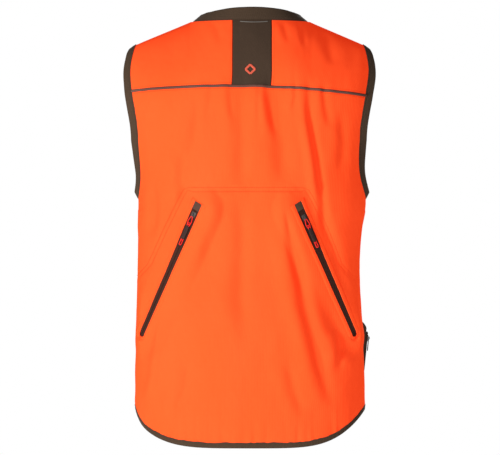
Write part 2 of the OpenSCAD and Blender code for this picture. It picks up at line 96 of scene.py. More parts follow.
def bell(h, centre, width):
    return np.exp(-(((h - centre) / width) ** 2))


def half_w(h):
    return WAIST_HALF_W + 5.5 * bell(h, 95, 85) + 30 * smooth((h - 400) / 230)


HEM_HALF_W = float(half_w(HEM_RISE))
OUT = np.array([0, 1.0, 0])
LEVEL = np.array([1, 1, 0])


def unit(v):
    return v / (np.linalg.norm(v, axis=-1, keepdims=True) + 1e-12)


def xyz(x, y, z):
    """Points in an array, from coordinates that may be numbers or arrays."""
    return np.stack(np.broadcast_arrays(x, y, z), -1).astype(float)


def half_d(side, h):
    if side == FRONT:
        return FRONT_DEPTH + 0 * h
    fall = 24 * smooth((h - 560) / 144)
    return BACK_DEPTH - 14 * bell(h, 291, 62) + 4 * bell(h, 460, 70) - fall


def section(ratio):
    return (1 - np.minimum(1, np.abs(ratio)) ** POWER) ** (1 / POWER)


def shoulder_line(x):
    x = np.abs(x)
    slope = SHOULDER_DROP / (TIP_HALF_W - NECK_HALF_W)
    inner = SEAT_H + NECK_RISE * (1 - (x / NECK_HALF_W) ** 2)
    return np.where(x > NECK_HALF_W, SEAT_H - (x - NECK_HALF_W) * slope, inner)


def closing(x, h):
    t = np.clip((shoulder_line(x) - h) / SHOULDER_ROUND, 0, 1)
    return np.sqrt(1 - (1 - t) ** 2)


def round_depth(side, x, h):
    return half_d(side, h) * section(x / half_w(h)) * closing(x, h)


ZIP_TOP_Y = float(round_depth(BACK, np.array(ZIP_TOP[0]), np.array(ZIP_TOP[1])))


def segment_distance(x, h, a, b):
    """Distance to the segment from a to b, how far along it lies, and the side it lies on."""
    run = np.array(b, float) - a
    dx, dh = x - a[0], h - a[1]
    t = np.clip((dx * run[0] + dh * run[1]) / (run @ run), 0, 1)
    ox, oh = dx - run[0] * t, dh - run[1] * t
    return np.hypot(ox, oh), t, np.sign(run[0] * dh - run[1] * dx)


def zip_share(x, h):
    near = segment_distance(np.abs(x - ZIP_SHIFT), h, ZIP_TOP, ZIP_LOW)[0]
    return (1 - smooth((near - 18) / 28)) * smooth((1 - np.abs(x) / half_w(h)) / 0.045)


def depth(side, x, h):
    d = round_depth(side, x, h)
    if side == FRONT:
        return d
    flat = ZIP_TOP_Y - ZIP_SLOPE * (np.abs(x - ZIP_SHIFT) - ZIP_TOP[0])
    return d + (flat - d) * zip_share(x, h)


def hang(x, h):
    """How the worn vest leans out of symmetry: sideways shifts near the armholes and waist."""
    x = np.asarray(x, float)
    outer = smooth((np.abs(x) - 90) / 100)
    left = 4.5 * smooth((h - 430) / 70) + 1.5 * smooth((h - 640) / 25) + 1.8 * bell(h, 250, 160)
    right = 2 * smooth((h - 585) / 40) + 1.5 * smooth((h - 640) / 25)
    right = right + 4 * bell(h, 420, 24) + 5 * bell(h, 394, 24) - 3.2 * bell(h, 290, 55)
    twist = -3 * smooth((h - 560) / 60) * (1 - smooth((np.abs(x) - 50) / 60))
    return twist + outer * np.where(x > 0, left, -right)


def skin(side, x, h):
    return xyz(x + hang(x, h), side * (SEAM_GAP + depth(side, x, h)), h)


def edge_x(side, h):
    reach = 60 if side == BACK else 70
    ellipse = reach * np.sqrt(np.maximum(0, 1 - ((h - ARM_MID_H) / ARM_REACH) ** 2))
    low = half_w(h) * section(ellipse / half_d(side, h))
    mid = ARM_EDGE_X - 13.5 * smooth((ARM_HIGH_H - h) / (ARM_HIGH_H - ARM_LOW_H))
    rise = np.clip((h - ARM_HIGH_H) / (TIP_H - ARM_HIGH_H), 0, 1)
    high = ARM_EDGE_X - (ARM_EDGE_X - TIP_HALF_W) * rise**2
    top = np.where(h < ARM_HIGH_H, mid, high)
    if side == FRONT:
        top = top - 14 * np.maximum(0, 1 - ((h - 560) / 104) ** 2)
    return np.where(h <= ARMPIT_H, half_w(h), np.where(h < ARM_LOW_H, low, top))


def hem_h(side, x):
    r = np.minimum(1, np.abs(x) / HEM_HALF_W)
    if side == FRONT:
        return HEM_RISE - 8 * (1 - r * r)
    return HEM_RISE * np.where(x > 0, 0.68 * r**4.7 + 0.32 * r**30, r**4.6)


def yoke_seam_h(x):
    return YOKE_H - 1.2 + 0.02 * x - 10.5 * (x / YOKE_REACH) ** 2


def neck_h(side, x):
    r = np.minimum(1, np.abs(x) / NECK_HALF_W)
    if side == BACK:
        return SEAT_H + 1 - r * r
    return FRONT_NECK_H + (SEAT_H - FRONT_NECK_H) * r**2.2


def top_h(side, x):
    return np.where(np.abs(x) < NECK_HALF_W, neck_h(side, x), shoulder_line(x))


# ---------------------------------------------------------------- folds, seams and puckers


def noise(u, v, seed):
    """Smooth value noise, one unit per cell, from -1 to 1."""
    u, v = np.broadcast_arrays(np.asarray(u, float), np.asarray(v, float))
    table = np.random.default_rng(seed).uniform(-1, 1, (64, 64))
    iu, iv = np.floor(u).astype(int), np.floor(v).astype(int)
    fu, fv = smooth(u - iu), smooth(v - iv)
    a, b = table[iu % 64, iv % 64], table[(iu + 1) % 64, iv % 64]
    c, d = table[iu % 64, (iv + 1) % 64], table[(iu + 1) % 64, (iv + 1) % 64]
    return (a + (b - a) * fu) * (1 - fv) + (c + (d - c) * fu) * fv


def fold(x, h, points, width, drop, ridge=0.6):
    """A valley along a line of (x, h) points with a softer ridge on its right-hand side."""
    best = np.full(np.shape(x), 1e9)
    along = np.zeros(np.shape(x))
    turn = np.ones(np.shape(x))
    count = len(points) - 1
    for k in range(count):
        near, t, s = segment_distance(x, h, points[k], points[k + 1])
        closer = near < best
        best = np.where(closer, near, best)
        along = np.where(closer, (k + t) / count, along)
        turn = np.where(closer, s, turn)
    fade = smooth(along / 0.3) * smooth((1 - along) / 0.3)
    signed = best * turn
    shape = -np.exp(-((signed / width) ** 2))
    shape += ridge * np.exp(-(((signed - 1.9 * width) / (1.4 * width)) ** 2))
    return drop * fade * shape


BACK_FOLDS = [
    ([(17, 620), (16, 545), (12, 470), (14, 420)], 12, 2.0, 0.5),
    ([(-38, 625), (-44, 560), (-52, 480), (-58, 415)], 15, 3.2, 0.5),
    ([(-94, 620), (-98, 540), (-110, 470), (-119, 400), (-122, 330)], 6.5, 3.4, 0.9),
    ([(78, 590), (93, 510), (110, 436)], 9, 1.4, 0.5),
    ([(-150, 560), (-152, 500), (-150, 450)], 9, 1.8, 0.5),
    ([(-24, 604), (-32, 560), (-46, 500)], 7, 1.8, 0.8),
    ([(-12, 604), (-13, 560), (-14, 520)], 4, 0.8, 0.6),
    ([(-72, 604), (-74, 575), (-70, 550)], 4, 0.9, 0.6),
    ([(-118, 604), (-124, 560), (-132, 520)], 6, 1.2, 0.6),
    ([(36, 604), (33, 570), (27, 530)], 5, 0.9, 0.6),
    ([(62, 604), (66, 570), (76, 530)], 6, 0.7, 0.6),
    ([(-50, 720), (-54, 690), (-62, 660)], 6, 1.0, 0.7),
    ([(-78, 712), (-84, 685), (-90, 655)], 5, 0.9, 0.7),
    ([(-120, 690), (-128, 660), (-140, 625)], 9, 1.3, 0.6),
    ([(62, 715), (58, 690), (50, 660)], 7, 0.8, 0.6),
    ([(-52, 430), (-64, 360), (-78, 287), (-92, 225), (-108, 165), (-128, 90), (-136, 60)], 11, 3.3, 0.9),
    ([(-57, 414), (-63, 366), (-71, 322), (-81, 276), (-92, 236)], 5.5, 1.9, 0.5),
    ([(-132, 330), (-140, 270), (-150, 215)], 8, 2.4, 0.5),
    ([(-146, 200), (-150, 168), (-147, 120)], 7, 2.4, 0.6),
    ([(112, 500), (113, 440), (106, 400)], 8, 2.0, 0.5),
    ([(160, 440), (158, 385), (163, 340)], 8, 2.2, 0.5),
    ([(100, 366), (102, 350), (99, 330)], 4, 1.0, 0.5),
    ([(20, 440), (12, 350), (16, 250), (8, 150)], 14, 2.5, 0.4),
    ([(148, 240), (151, 180), (160, 110), (172, 70)], 8, -2.6, 0.2),
    ([(96, 150), (110, 90), (128, 45)], 9, 1.6, 0.5),
    ([(-60, 150), (-72, 95), (-90, 50)], 9, 1.6, 0.5),
]
FRONT_FOLDS = [
    ([(60, 560), (66, 470), (62, 380)], 15, 2.4, 0.5),
    ([(150, 440), (120, 400), (96, 350)], 9, 2.2, 0.5),
    ([(40, 300), (44, 200), (40, 120)], 12, 2.0, 0.5),
    ([(-56, 590), (-64, 480), (-58, 400)], 13, 2.6, 0.5),
    ([(-152, 430), (-128, 380), (-112, 330)], 9, 2.2, 0.5),
    ([(-46, 330), (-40, 210), (-44, 110)], 12, 2.2, 0.5),
]
FOLD_DEPTH = 1.8
WELT_RISE = 3.3
POCKET_SHIFT = 7.0
POCKET_LINE = [(178, 282), (160, 302), (135, 359), (108, 415), (102, 424), (92.0, 427.0)]
POCKET_BEND_H = 425
STITCH_GAP = 7.0


def pocket_outline(inset):
    """The stitched outline of the back pocket, left side first, inset towards the middle."""
    steep, level = (0.9, 0.2), (0.4, 1)
    ways = [steep if h < POCKET_BEND_H else level for _, h in POCKET_LINE]
    half = [(x - inset * across, h - inset * down) for (x, h), (across, down) in zip(POCKET_LINE, ways)]
    return [(x + POCKET_SHIFT, h) for x, h in half] + [(POCKET_SHIFT - x, h) for x, h in reversed(half)]


def line_distance(x, h, points):
    return np.min([segment_distance(x, h, a, b)[0] for a, b in zip(points, points[1:])], axis=0)


def relief(side, x, h):
    """How far the worn cloth stands off its plain surface, in millimetres."""
    seed = 11 if side == BACK else 47
    d = 1.4 * noise(x / 62 + 9, h / 130 + 5, seed) + 0.7 * noise(x / 21 + 3, h / 46 + 8, seed + 1)
    d += 0.2 * noise(x / 7, h / 11, seed + 2)
    for points, width, drop, ridge in BACK_FOLDS if side == BACK else FRONT_FOLDS:
        d = d + fold(x, h, points, width, FOLD_DEPTH * drop, ridge)
    hem = h - hem_h(side, x) - HEM_BINDING_W
    gather = noise(x / 5.2, 0 * h + 2.5, seed + 3) + 0.6 * noise(x / 12 + hem / 40, hem / 60, seed + 4)
    d = d + 1.2 * gather * np.exp(-np.maximum(0, hem) / 24)
    if side == BACK:
        under = yoke_seam_h(x) - h
        pucker = noise(x / 9.5, 0 * h + 7.5, seed + 5)
        d = d + 1.2 * pucker * np.where(under > 0, np.exp(-under / 34), np.exp(under / 9))
        near = line_distance(x, h, pocket_outline(STITCH_GAP / 2))
        ripple = 0.45 * noise((x + h) / 8, (x - h) / 8, seed + 6) * np.exp(-((near / 12) ** 2))
        d = d - 0.8 * np.exp(-((near / 4.6) ** 2)) + ripple
        zone = segment_distance(np.abs(x - ZIP_SHIFT), h, ZIP_TOP, ZIP_LOW)[0]
        d = np.maximum(d, -5.0) * smooth((zone - 10) / 20)
        d = d + WELT_RISE * smooth((zone - 4.5) / 4) * (1 - smooth((zone - 9) / 22))
        leaning_out = np.maximum(0, hang(x, h) * np.sign(x))
        d = d - 0.55 * leaning_out * (1 - smooth((zone - 10) / 16)) * (h < ARMPIT_H)
    if side == FRONT:
        d = d - np.minimum(0, d + 1.2) * (1 - smooth((np.abs(x) - 38) / 16))
        d = d - np.minimum(0, d + 1.0) * (1 - smooth((h - 222) / 20)) * smooth((np.abs(x) - 50) / 12)
    neck = top_h(side, x) - h
    edge = edge_x(side, h) - np.abs(x)
    at_arm = np.where(h > ARMPIT_H - 20, smooth((edge - 2.5) / 14), 1.0)
    return d * smooth(np.abs(neck) / 14) * at_arm * smooth((hem + 4.5) / 7)


def frame_at(side, x, h):
    """Point and outward normal of the worn cloth at places (x, h)."""
    step = 0.4
    x, h = np.broadcast_arrays(np.asarray(x, float), np.asarray(h, float))

    def outward(surface, px, ph):
        a = surface(px + step, ph) - surface(px - step, ph)
        b = surface(px, ph + step) - surface(px, ph - step)
        return unit(np.cross(a, b) * -side)

    def plain(px, ph):
        return skin(side, px, ph)

    def worn_cloth(px, ph):
        return plain(px, ph) + outward(plain, px, ph) * relief(side, px, ph)[..., None]

    return worn_cloth(x, h), outward(worn_cloth, x, h)


# ---------------------------------------------------------------- mesh helpers


def make_object(name, verts, faces, materials, index=None):
    mesh = bpy.data.meshes.new(name)
    mesh.from_pydata([tuple(v) for v in metres(verts)], [], [tuple(int(i) for i in f) for f in faces])
    for m in materials:
        mesh.materials.append(m)
    if index is not None:
        mesh.polygons.foreach_set("material_index", np.asarray(index, np.int32))
    mesh.polygons.foreach_set("use_smooth", np.full(len(mesh.polygons), True))
    mesh.update()
    obj = bpy.data.objects.new(name, mesh)
    bpy.context.scene.collection.objects.link(obj)
    return obj


def make_solid(name, verts, faces, material):
    """A solid of one material, with its faces turned outward."""
    obj = make_object(name, np.asarray(verts, float).reshape(-1, 3), faces, [material])
    bm = bmesh.new()
    bm.from_mesh(obj.data)
    bmesh.ops.recalc_face_normals(bm, faces=bm.faces)
    bm.to_mesh(obj.data)
    bm.free()
    return obj


def ring_faces(n, k, base=0, looped=False, caps=True):
    """Faces between n rings of k points, with the two ends capped unless the rings form a loop."""
    faces = []
    for i in range(n if looped else n - 1):
        a, b = base + i * k, base + (i + 1) % n * k
        faces += [(a + j, b + j, b + (j + 1) % k, a + (j + 1) % k) for j in range(k)]
    if caps and not looped:
        last = base + (n - 1) * k
        faces += [tuple(range(base, base + k))[::-1], tuple(range(last, last + k))]
    return faces


def grid_normals(P, hint=None):
    n = unit(np.cross(np.gradient(P, axis=0), np.gradient(P, axis=1)))
    sign = 1 if np.sum(n * (P * LEVEL if hint is None else hint)) > 0 else -1
    return n * sign, sign


def sheet_faces(n, m, sign):
    """Quads of a skin of n by m outer points and the same inner points, with its rim."""
    idx = np.arange(n * m).reshape(n, m)
    inner = idx + n * m

    def quads(a, b, c, d):
        q = np.stack([a.ravel(), b.ravel(), c.ravel(), d.ravel()], 1)
        return q if sign > 0 else q[:, ::-1]

    out = quads(idx[:-1, :-1], idx[1:, :-1], idx[1:, 1:], idx[:-1, 1:])
    back = quads(inner[:-1, :-1], inner[:-1, 1:], inner[1:, 1:], inner[1:, :-1])
    rim = [
        quads(idx[0, :-1], idx[0, 1:], inner[0, 1:], inner[0, :-1]),
        quads(idx[-1, 1:], idx[-1, :-1], inner[-1, :-1], inner[-1, 1:]),
        quads(idx[1:, 0], idx[:-1, 0], inner[:-1, 0], inner[1:, 0]),
        quads(idx[:-1, -1], idx[1:, -1], inner[1:, -1], inner[:-1, -1]),
    ]
    faces = np.concatenate([out, back] + rim)
    index = np.concatenate([np.zeros(len(out)), np.ones(len(back)), np.zeros(sum(map(len, rim)))])
    return faces, index.astype(int)


def cloth_sheet(name, P, thick, outer, inner, hint=None):
    """A cloth skin: P is a grid of outer points, thickened inward."""
    N, sign = grid_normals(P, hint)
    n, m = P.shape[:2]
    verts = np.concatenate([P.reshape(-1, 3), (P - N * thick).reshape(-1, 3)])
    faces, index = sheet_faces(n, m, sign)
    return make_object(name, verts, faces, [outer, inner], index)


def swept(name, centres, wide, out, shape, material, looped=False, scale=1.0):
    """A solid swept along centres: shape is a ring of (along wide, along out) offsets."""
    n = len(centres)
    scale = np.broadcast_to(scale, n)[:, None, None]
    across, off = shape[None, :, :1] * wide[:, None], shape[None, :, 1:] * out[:, None]
    rings = centres[:, None] + across * scale + off * scale
    return make_solid(name, rings, ring_faces(n, len(shape), looped=looped), material)


def oval(half_wide, half_thin, count=14, power=2.0):
    a = np.arange(count) * 2 * math.pi / count
    c, s = np.cos(a), np.sin(a)
    return np.stack([
        half_wide * np.sign(c) * np.abs(c) ** (2 / power),
        half_thin * np.sign(s) * np.abs(s) ** (2 / power),
    ], 1)


def resample(points, step):
    """Evenly spaced points along a polyline, given as an (n, k) array."""
    points = np.asarray(points, float)
    gaps = np.linalg.norm(np.diff(points, axis=0), axis=1)
    s = np.concatenate([[0], np.cumsum(gaps)])
    count = max(2, int(round(s[-1] / step)) + 1)
    at = np.linspace(0, s[-1], count)
    return np.stack([np.interp(at, s, points[:, i]) for i in range(points.shape[1])], 1)


def tangents(points, looped=False):
    return unit(np.roll(points, -1, 0) - np.roll(points, 1, 0) if looped else np.gradient(points, axis=0))


class Threads:
    """Many short sewn threads gathered into one object."""

    # Along a thread: how far, how thick and how far lifted each ring of points is.
    RINGS = [(-0.5, 0.25, -0.4), (-0.38, 0.9, 0.5), (0.0, 1.0, 1.0), (0.38, 0.9, 0.5), (0.5, 0.25, -0.4)]
    AROUND = [(math.cos(math.pi * k / 3), math.sin(math.pi * k / 3)) for k in range(6)]

    def __init__(self):
        self.verts, self.faces = [], []

    def add(self, p, along, up, length, half_wide, lift):
        along = unit(along)
        side = unit(np.cross(up, along))
        self.faces += ring_faces(len(self.RINGS), len(self.AROUND), len(self.verts))
        for t, r, rise in self.RINGS:
            c = p + along * t * length + up * lift * rise
            self.verts += [c + (side * x + up * y) * half_wide * r for x, y in self.AROUND]

    def row(self, line, normals, pitch=3.2, length=2.5, half_wide=0.28, lift=0.25):
        """Stitches along a line of 3-D points, with one normal or a normal for each."""
        both = resample(np.concatenate([line, np.broadcast_to(normals, line.shape)], 1), pitch)
        for p, t, n in zip(both[:, :3], tangents(both[:, :3]), both[:, 3:]):
            self.add(p, t, unit(n), length, half_wide, lift)

    def build(self, name, material):
        return make_solid(name, self.verts, self.faces, material)


def worn(obj, *nodes, slot=None, body="garment"):
    """Rides on a body, and stands for the given nodes."""
    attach(obj, body)
    if nodes:
        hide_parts(*nodes)
    return obj


# ---------------------------------------------------------------- materials


class Shader:
    """A Principled material, with short calls that add nodes to it and join them."""

    def __init__(self, name, roughness, metallic=0.0, sheen=0.0, gloss=0.12):
        self.material = bpy.data.materials.new(name)
        self.material.use_nodes = True
        self.tree = self.material.node_tree
        self.surface = self.tree.nodes["Principled BSDF"].inputs
        self.fill(self.surface, {
            "Roughness": roughness, "Metallic": metallic, "Sheen Weight": sheen, "Sheen Roughness": 0.5,
            "Specular IOR Level": 0.5 if metallic else gloss, "IOR": 1.5 if gloss > 0.1 else 1.05,
        })
        self.coords = self.tree.nodes.new("ShaderNodeTexCoord").outputs["Object"]

    def fill(self, inputs, values):
        """Sets each named input to a value, or links it to a socket."""
        for socket, value in values.items():
            if isinstance(value, bpy.types.NodeSocket):
                self.tree.links.new(value, inputs[socket])
            else:
                inputs[socket].default_value = value

    def node(self, kind, values):
        node = self.tree.nodes.new("ShaderNode" + kind)
        self.fill(node.inputs, values)
        return node

    def noise(self, scale, detail=3.0, stretch=(1, 1, 1)):
        at = self.node("Mapping", {"Scale": stretch, "Vector": self.coords}).outputs["Vector"]
        return self.node("TexNoise", {"Scale": scale, "Detail": detail, "Vector": at}).outputs["Fac"]

    def ribs(self, per_metre, turn):
        """Fine straight ribs across turned coordinates."""
        at = self.node("Mapping", {"Rotation": turn, "Vector": self.coords}).outputs["Vector"]
        values = {"Scale": per_metre, "Distortion": 0.6, "Detail": 1.0, "Vector": at}
        return self.node("TexWave", values).outputs["Fac"]

    def colour(self, value, low, high):
        """Paints the surface from low to high as value rises."""
        ramp = self.node("ValToRGB", {"Fac": value})
        for stop, place, shade in zip(ramp.color_ramp.elements, (0.3, 0.7), (low, high)):
            stop.position = place
            stop.color = (*shade, 1)
        self.fill(self.surface, {"Base Color": ramp.outputs["Color"]})

    def mixed(self, a, share_a, b, share_b):
        """The sum of two values, each times its share."""
        return self.sum("ADD", self.sum("MULTIPLY", a, share_a), self.sum("MULTIPLY", b, share_b))

    def sum(self, kind, a, b):
        node = self.node("Math", {0: a, 1: b})
        node.operation = kind
        return node.outputs[0]

    def rough(self, value, share, base):
        self.fill(self.surface, {"Roughness": self.sum("ADD", self.sum("MULTIPLY", value, share), base)})

    def bump(self, height, distance, strength=0.5):
        node = self.node("Bump", {"Distance": distance, "Strength": strength, "Height": height})
        self.fill(self.surface, {"Normal": node.outputs["Normal"]})


def cloth_material(
    name, low, high, roughness=0.8, sheen=0.25, ribs=160.0, painted_glow=None, depth=0.0003, gloss=0.12
):
    """Woven cloth: two crossing sets of ribs, soft colour changes and fuzz."""
    s = Shader(name, roughness, sheen=sheen, gloss=gloss)
    broad = s.noise(9.0, 4.0, (1, 1, 0.6))
    fine = s.noise(520.0, 2.0, (1, 1, 2.2))
    s.colour(s.mixed(broad, 0.65, fine, 0.35), low, high)
    warp = s.ribs(ribs, (0, 0, math.radians(35)))
    weft = s.ribs(ribs, (0, math.radians(90), 0))
    s.bump(s.mixed(warp, weft, fine, 0.8), depth)
    s.rough(fine, 0.14, roughness - 0.07)
    # painted_glow is the (colour, strength) of an emission: painted light, so the cloth glows though it is no
    # lamp
    if painted_glow:
        s.fill(s.surface, {"Emission Color": (*painted_glow[0], 1), "Emission Strength": painted_glow[1]})
    return s.material


def hard_material(name, low, high, roughness, metallic=0.0, grain=900.0, depth=0.0001):
    s = Shader(name, roughness, metallic)
    speck = s.noise(grain)
    s.colour(speck, low, high)
    s.rough(s.noise(grain / 8, 4.0), 0.25, roughness - 0.1)
    s.bump(speck, depth, 0.25)
    return s.material


# Painted glow: the orange cloth emits red light of its own at strength 0.5, which keeps its shaded folds and
# sides bright red as if lit.
ORANGE = cloth_material(
    "blaze_orange_cloth", (0.80, 0.110, 0.023), (0.86, 0.127, 0.030), 0.85, 0.0, painted_glow=((1, 0.008, 0.0), 0.50),
    gloss=0.02,
)
BROWN = cloth_material("brown_cloth", (0.062, 0.037, 0.023), (0.078, 0.047, 0.030), 0.85, 0.03)
KNIT = cloth_material(
    "brown_knit", (0.066, 0.040, 0.024), (0.084, 0.052, 0.032), 0.9, 0.04, 110.0, depth=0.0005
)
LINING = cloth_material(
    "brown_mesh_lining", (0.040, 0.030, 0.023), (0.058, 0.044, 0.034), 0.9, 0.1, 90.0, depth=0.0006
)
TAPE = cloth_material("zip_tape_weave", (0.044, 0.015, 0.009), (0.060, 0.022, 0.014), 0.75, 0.04, 220.0)
PATCH = cloth_material("end_patch_cloth", (0.086, 0.040, 0.027), (0.110, 0.054, 0.038), 0.8, 0.04)
TAN = cloth_material("garage_cloth", (0.090, 0.052, 0.032), (0.115, 0.068, 0.043), 0.8, 0.04)
# Piping cord: a reddish brown that is partly its own colour and partly painted light. The extra red stands in
# for light bounced onto it from the orange cloth.
PIPING = cloth_material(
    "piping_cord", (0.130, 0.060, 0.045), (0.210, 0.110, 0.085), 0.8, 0.0, 240.0, gloss=0.03
)
GREY = cloth_material("grey_tape", (0.10, 0.088, 0.075), (0.30, 0.27, 0.24), 0.8, 0.05)
CORAL = cloth_material("coral_thread", (0.80, 0.115, 0.060), (0.90, 0.160, 0.090), 0.55, 0.2, 300.0)
# Painted glow: the red cord emits a faint red light of its own.
RED = cloth_material(
    "red_cord", (0.80, 0.014, 0.012), (0.95, 0.040, 0.030), 0.6, 0.05, 400.0, ((1, 0.02, 0.01), 0.12)
)
# Painted glow: the orange thread emits a faint red light of its own.
ORANGE_THREAD = cloth_material(
    "orange_thread", (0.60, 0.045, 0.008), (0.72, 0.060, 0.010), 0.7, 0.0, painted_glow=((1, 0.01, 0.0), 0.10)
)
BROWN_THREAD = cloth_material("brown_thread", (0.075, 0.048, 0.033), (0.105, 0.070, 0.050), 0.7, 0.05)
DARK_METAL = hard_material("dark_enamel", (0.020, 0.019, 0.018), (0.045, 0.042, 0.040), 0.35, 0.6)
GREY_METAL = hard_material("worn_zinc", (0.060, 0.049, 0.044), (0.105, 0.088, 0.080), 0.6, 0.3)
BRIGHT = hard_material("nickel", (0.085, 0.083, 0.081), (0.17, 0.166, 0.162), 0.45, 0.8)
PLASTIC = hard_material("zip_plastic", (0.030, 0.022, 0.017), (0.050, 0.038, 0.030), 0.45)
GRIP = hard_material("grip_rubber", (0.040, 0.020, 0.017), (0.060, 0.034, 0.029), 0.7, 0.0, 1400.0)

# ---------------------------------------------------------------- shell panels

COLS, LOW_ROWS, ARM_ROWS = 240, 125, 72
SEAM_FADE, SEAM_LAP = 12.0, 0.15
ARM_SWEEP = math.radians(110)


def back_panel():
    u = np.linspace(-1, 1, COLS)
    f = np.sin(math.pi / 2 * u)
    low = hem_h(BACK, f * HEM_HALF_W) + HEM_BINDING_W * 0.5
    top = yoke_seam_h(f * YOKE_REACH) - 1.2
    lower = low[:, None] + (ARMPIT_H - low)[:, None] * np.arange(LOW_ROWS) / LOW_ROWS
    turn = (1 - np.cos(ARM_SWEEP * np.arange(ARM_ROWS + 1) / ARM_ROWS)) / (1 - math.cos(ARM_SWEEP))
    turn = 0.85 * turn + 0.15 * np.arange(ARM_ROWS + 1) / ARM_ROWS
    upper = ARMPIT_H + (top - ARMPIT_H)[:, None] * turn
    h = np.concatenate([lower, upper], 1)
    x = f[:, None] * edge_x(BACK, h)
    return worn(panel("back_panel_cloth", BACK, x, h), "back_panel", slot="orange_shell")


def panel(name, side, x, h, outer=ORANGE, tuck=0.0):
    P = skin(side, x, h)
    N, _ = grid_normals(P)
    seam = 1 - smooth(depth(side, x, h) / SEAM_FADE)
    lift = relief(side, x, h)
    lift = lift + 0.5 * seam * (relief(-side, x, h) - lift)
    P = P + N * (lift + tuck)[..., None]
    P[..., 1] -= side * (SEAM_GAP + SEAM_LAP) * seam
    return cloth_sheet(name, P, CLOTH * 0.8, outer, LINING)


def yoke(side, name):
    x0 = YOKE_PANEL_HALF_W + SEAM_GAP
    f = np.linspace(0, 1, 90)[:, None]
    w = 1 - (1 - np.linspace(0, 1, 70)[None, :]) ** 2
    low = yoke_seam_h(side * (x0 + (YOKE_REACH - x0) * f)) + 1.2
    h = low + (top_h(BACK, x0 + (TIP_HALF_W - x0) * f) - low) * w
    x = side * (x0 + (edge_x(BACK, h) - x0) * f)
    return worn(panel(f"yoke_cloth_{name}", BACK, x, h), f"back_yoke_{name}", slot="orange_shell")


def yoke_centre():
    x = np.linspace(1, -1, 76)[:, None] * (YOKE_PANEL_HALF_W + 3.5)
    w = 1 - (1 - np.linspace(0, 1, 70)[None, :]) ** 2
    low = yoke_seam_h(x) + 1.2
    h = low + (top_h(BACK, x) - low) * w
    x = x + 0 * h
    tuck = -1.75 * smooth((np.abs(x) - YOKE_PANEL_HALF_W + 1.6) / 1.6)
    cloth = panel("yoke_centre_cloth", BACK, x, h, BROWN, tuck)
    return worn(cloth, "yoke_centre_panel", slot="brown_cloth")


def front_panel(side, name):
    v = np.linspace(0, 1, 130)[:, None]
    s = np.sin(math.pi / 2 * v)
    low = hem_h(FRONT, FRONT_EDGE + (HEM_HALF_W - FRONT_EDGE) * s) + HEM_BINDING_W * 0.5
    top = top_h(FRONT, FRONT_EDGE + (TIP_HALF_W - FRONT_EDGE) * s)
    lower = low + (ARMPIT_H - low) * np.arange(100)[None, :] / 100
    turn = (1 - np.cos(math.pi * np.arange(141)[None, :] / 140)) / 2
    upper = ARMPIT_H + (top - ARMPIT_H) * turn
    h = np.concatenate([lower, upper], 1)
    x = side * (FRONT_EDGE + (edge_x(FRONT, h) - FRONT_EDGE) * s)
    return worn(panel(f"front_cloth_{name}", FRONT, x, h), f"front_panel_{name}", slot="orange_shell")


back_panel()
for side, name in SIDES:
    yoke(side, name)
yoke_centre()
for side, name in SIDES:
    front_panel(side, name)

# ---------------------------------------------------------------- bindings, collar and piping


def folded(name, low, high, out, outline, looped=False):
    """A folded knit band: outline holds (share of the way from low to high, millimetres outward)."""
    across, off = outline[None, :, :1], outline[None, :, 1:]
    rings = low[:, None] + (high - low)[:, None] * across + out[:, None] * off
    n, k = rings.shape[:2]
    faces = ring_faces(n, k, looped=looped, caps=False)
    for base in () if looped else (0, (n - 1) * k):
        faces += [(base + j, base + j + 1, base + k - 2 - j, base + k - 1 - j) for j in range(k // 2 - 1)]
    return make_solid(name, rings, faces, KNIT)


def u_fold(outer, gap, shift=0.0, samples=9):
    """The outline of a band folded over an edge: open at share 0, folded at share 1."""
    s = np.linspace(0, 1, samples)
    swell = 1 + 0.10 * np.sin(np.pi * np.minimum(1, s * 1.4))
    close = np.sqrt(np.maximum(0, 1 - np.maximum(0, (s - 0.86) / 0.14) ** 2))
    stitch = 1 - 0.22 * np.exp(-(((s - 0.2) / 0.05) ** 2))
    outside = np.stack([s, outer * swell * stitch * close], 1)
    inside = np.stack([s, gap * np.sqrt(np.maximum(0, 1 - np.maximum(0, (s - 0.72) / 0.2) ** 2))], 1)
    inside = inside[s <= 0.92]
    below = np.array([1, -1])
    ring = np.concatenate([outside, outside[:-1][::-1] * below, inside * below, inside[:-1][::-1]])
    return ring + np.array([0, shift])


def mirror_x(p, side):
    return p * np.array([side, 1, 1])


def either(at_back, line):
    """Points of line(BACK) where at_back holds, and of line(FRONT) elsewhere."""
    return np.where(at_back[:, None], line(BACK), line(FRONT))


def arm_point(turn, side):
    """The edge of one armhole, mirrored into the left-hand side's frame."""
    h = ARM_MID_H - ARM_REACH * np.cos(np.radians(turn))
    return mirror_x(either(turn % 360 <= 180, lambda face: skin(face, side * edge_x(face, h), h)), side)


def arm_frame(turn, side):
    along = unit(arm_point(turn + 1.5, side) - arm_point(turn - 1.5, side))
    high = np.sin(np.radians(turn / 2)) ** 2
    lead = unit(xyz(1, 0, 0.5 * high))
    flare = 0.30 + 0.62 * smooth(2.2 * high)
    away = xyz(flare, 0, -0.35 * high * flare)
    raw = 0.55 * np.cross(lead, along) + away
    out = unit(raw - along * np.sum(raw * along, 1, keepdims=True))
    return along, out


ARM_OVERLAP = 2.2
stitching = Threads()
brown_stitching = Threads()


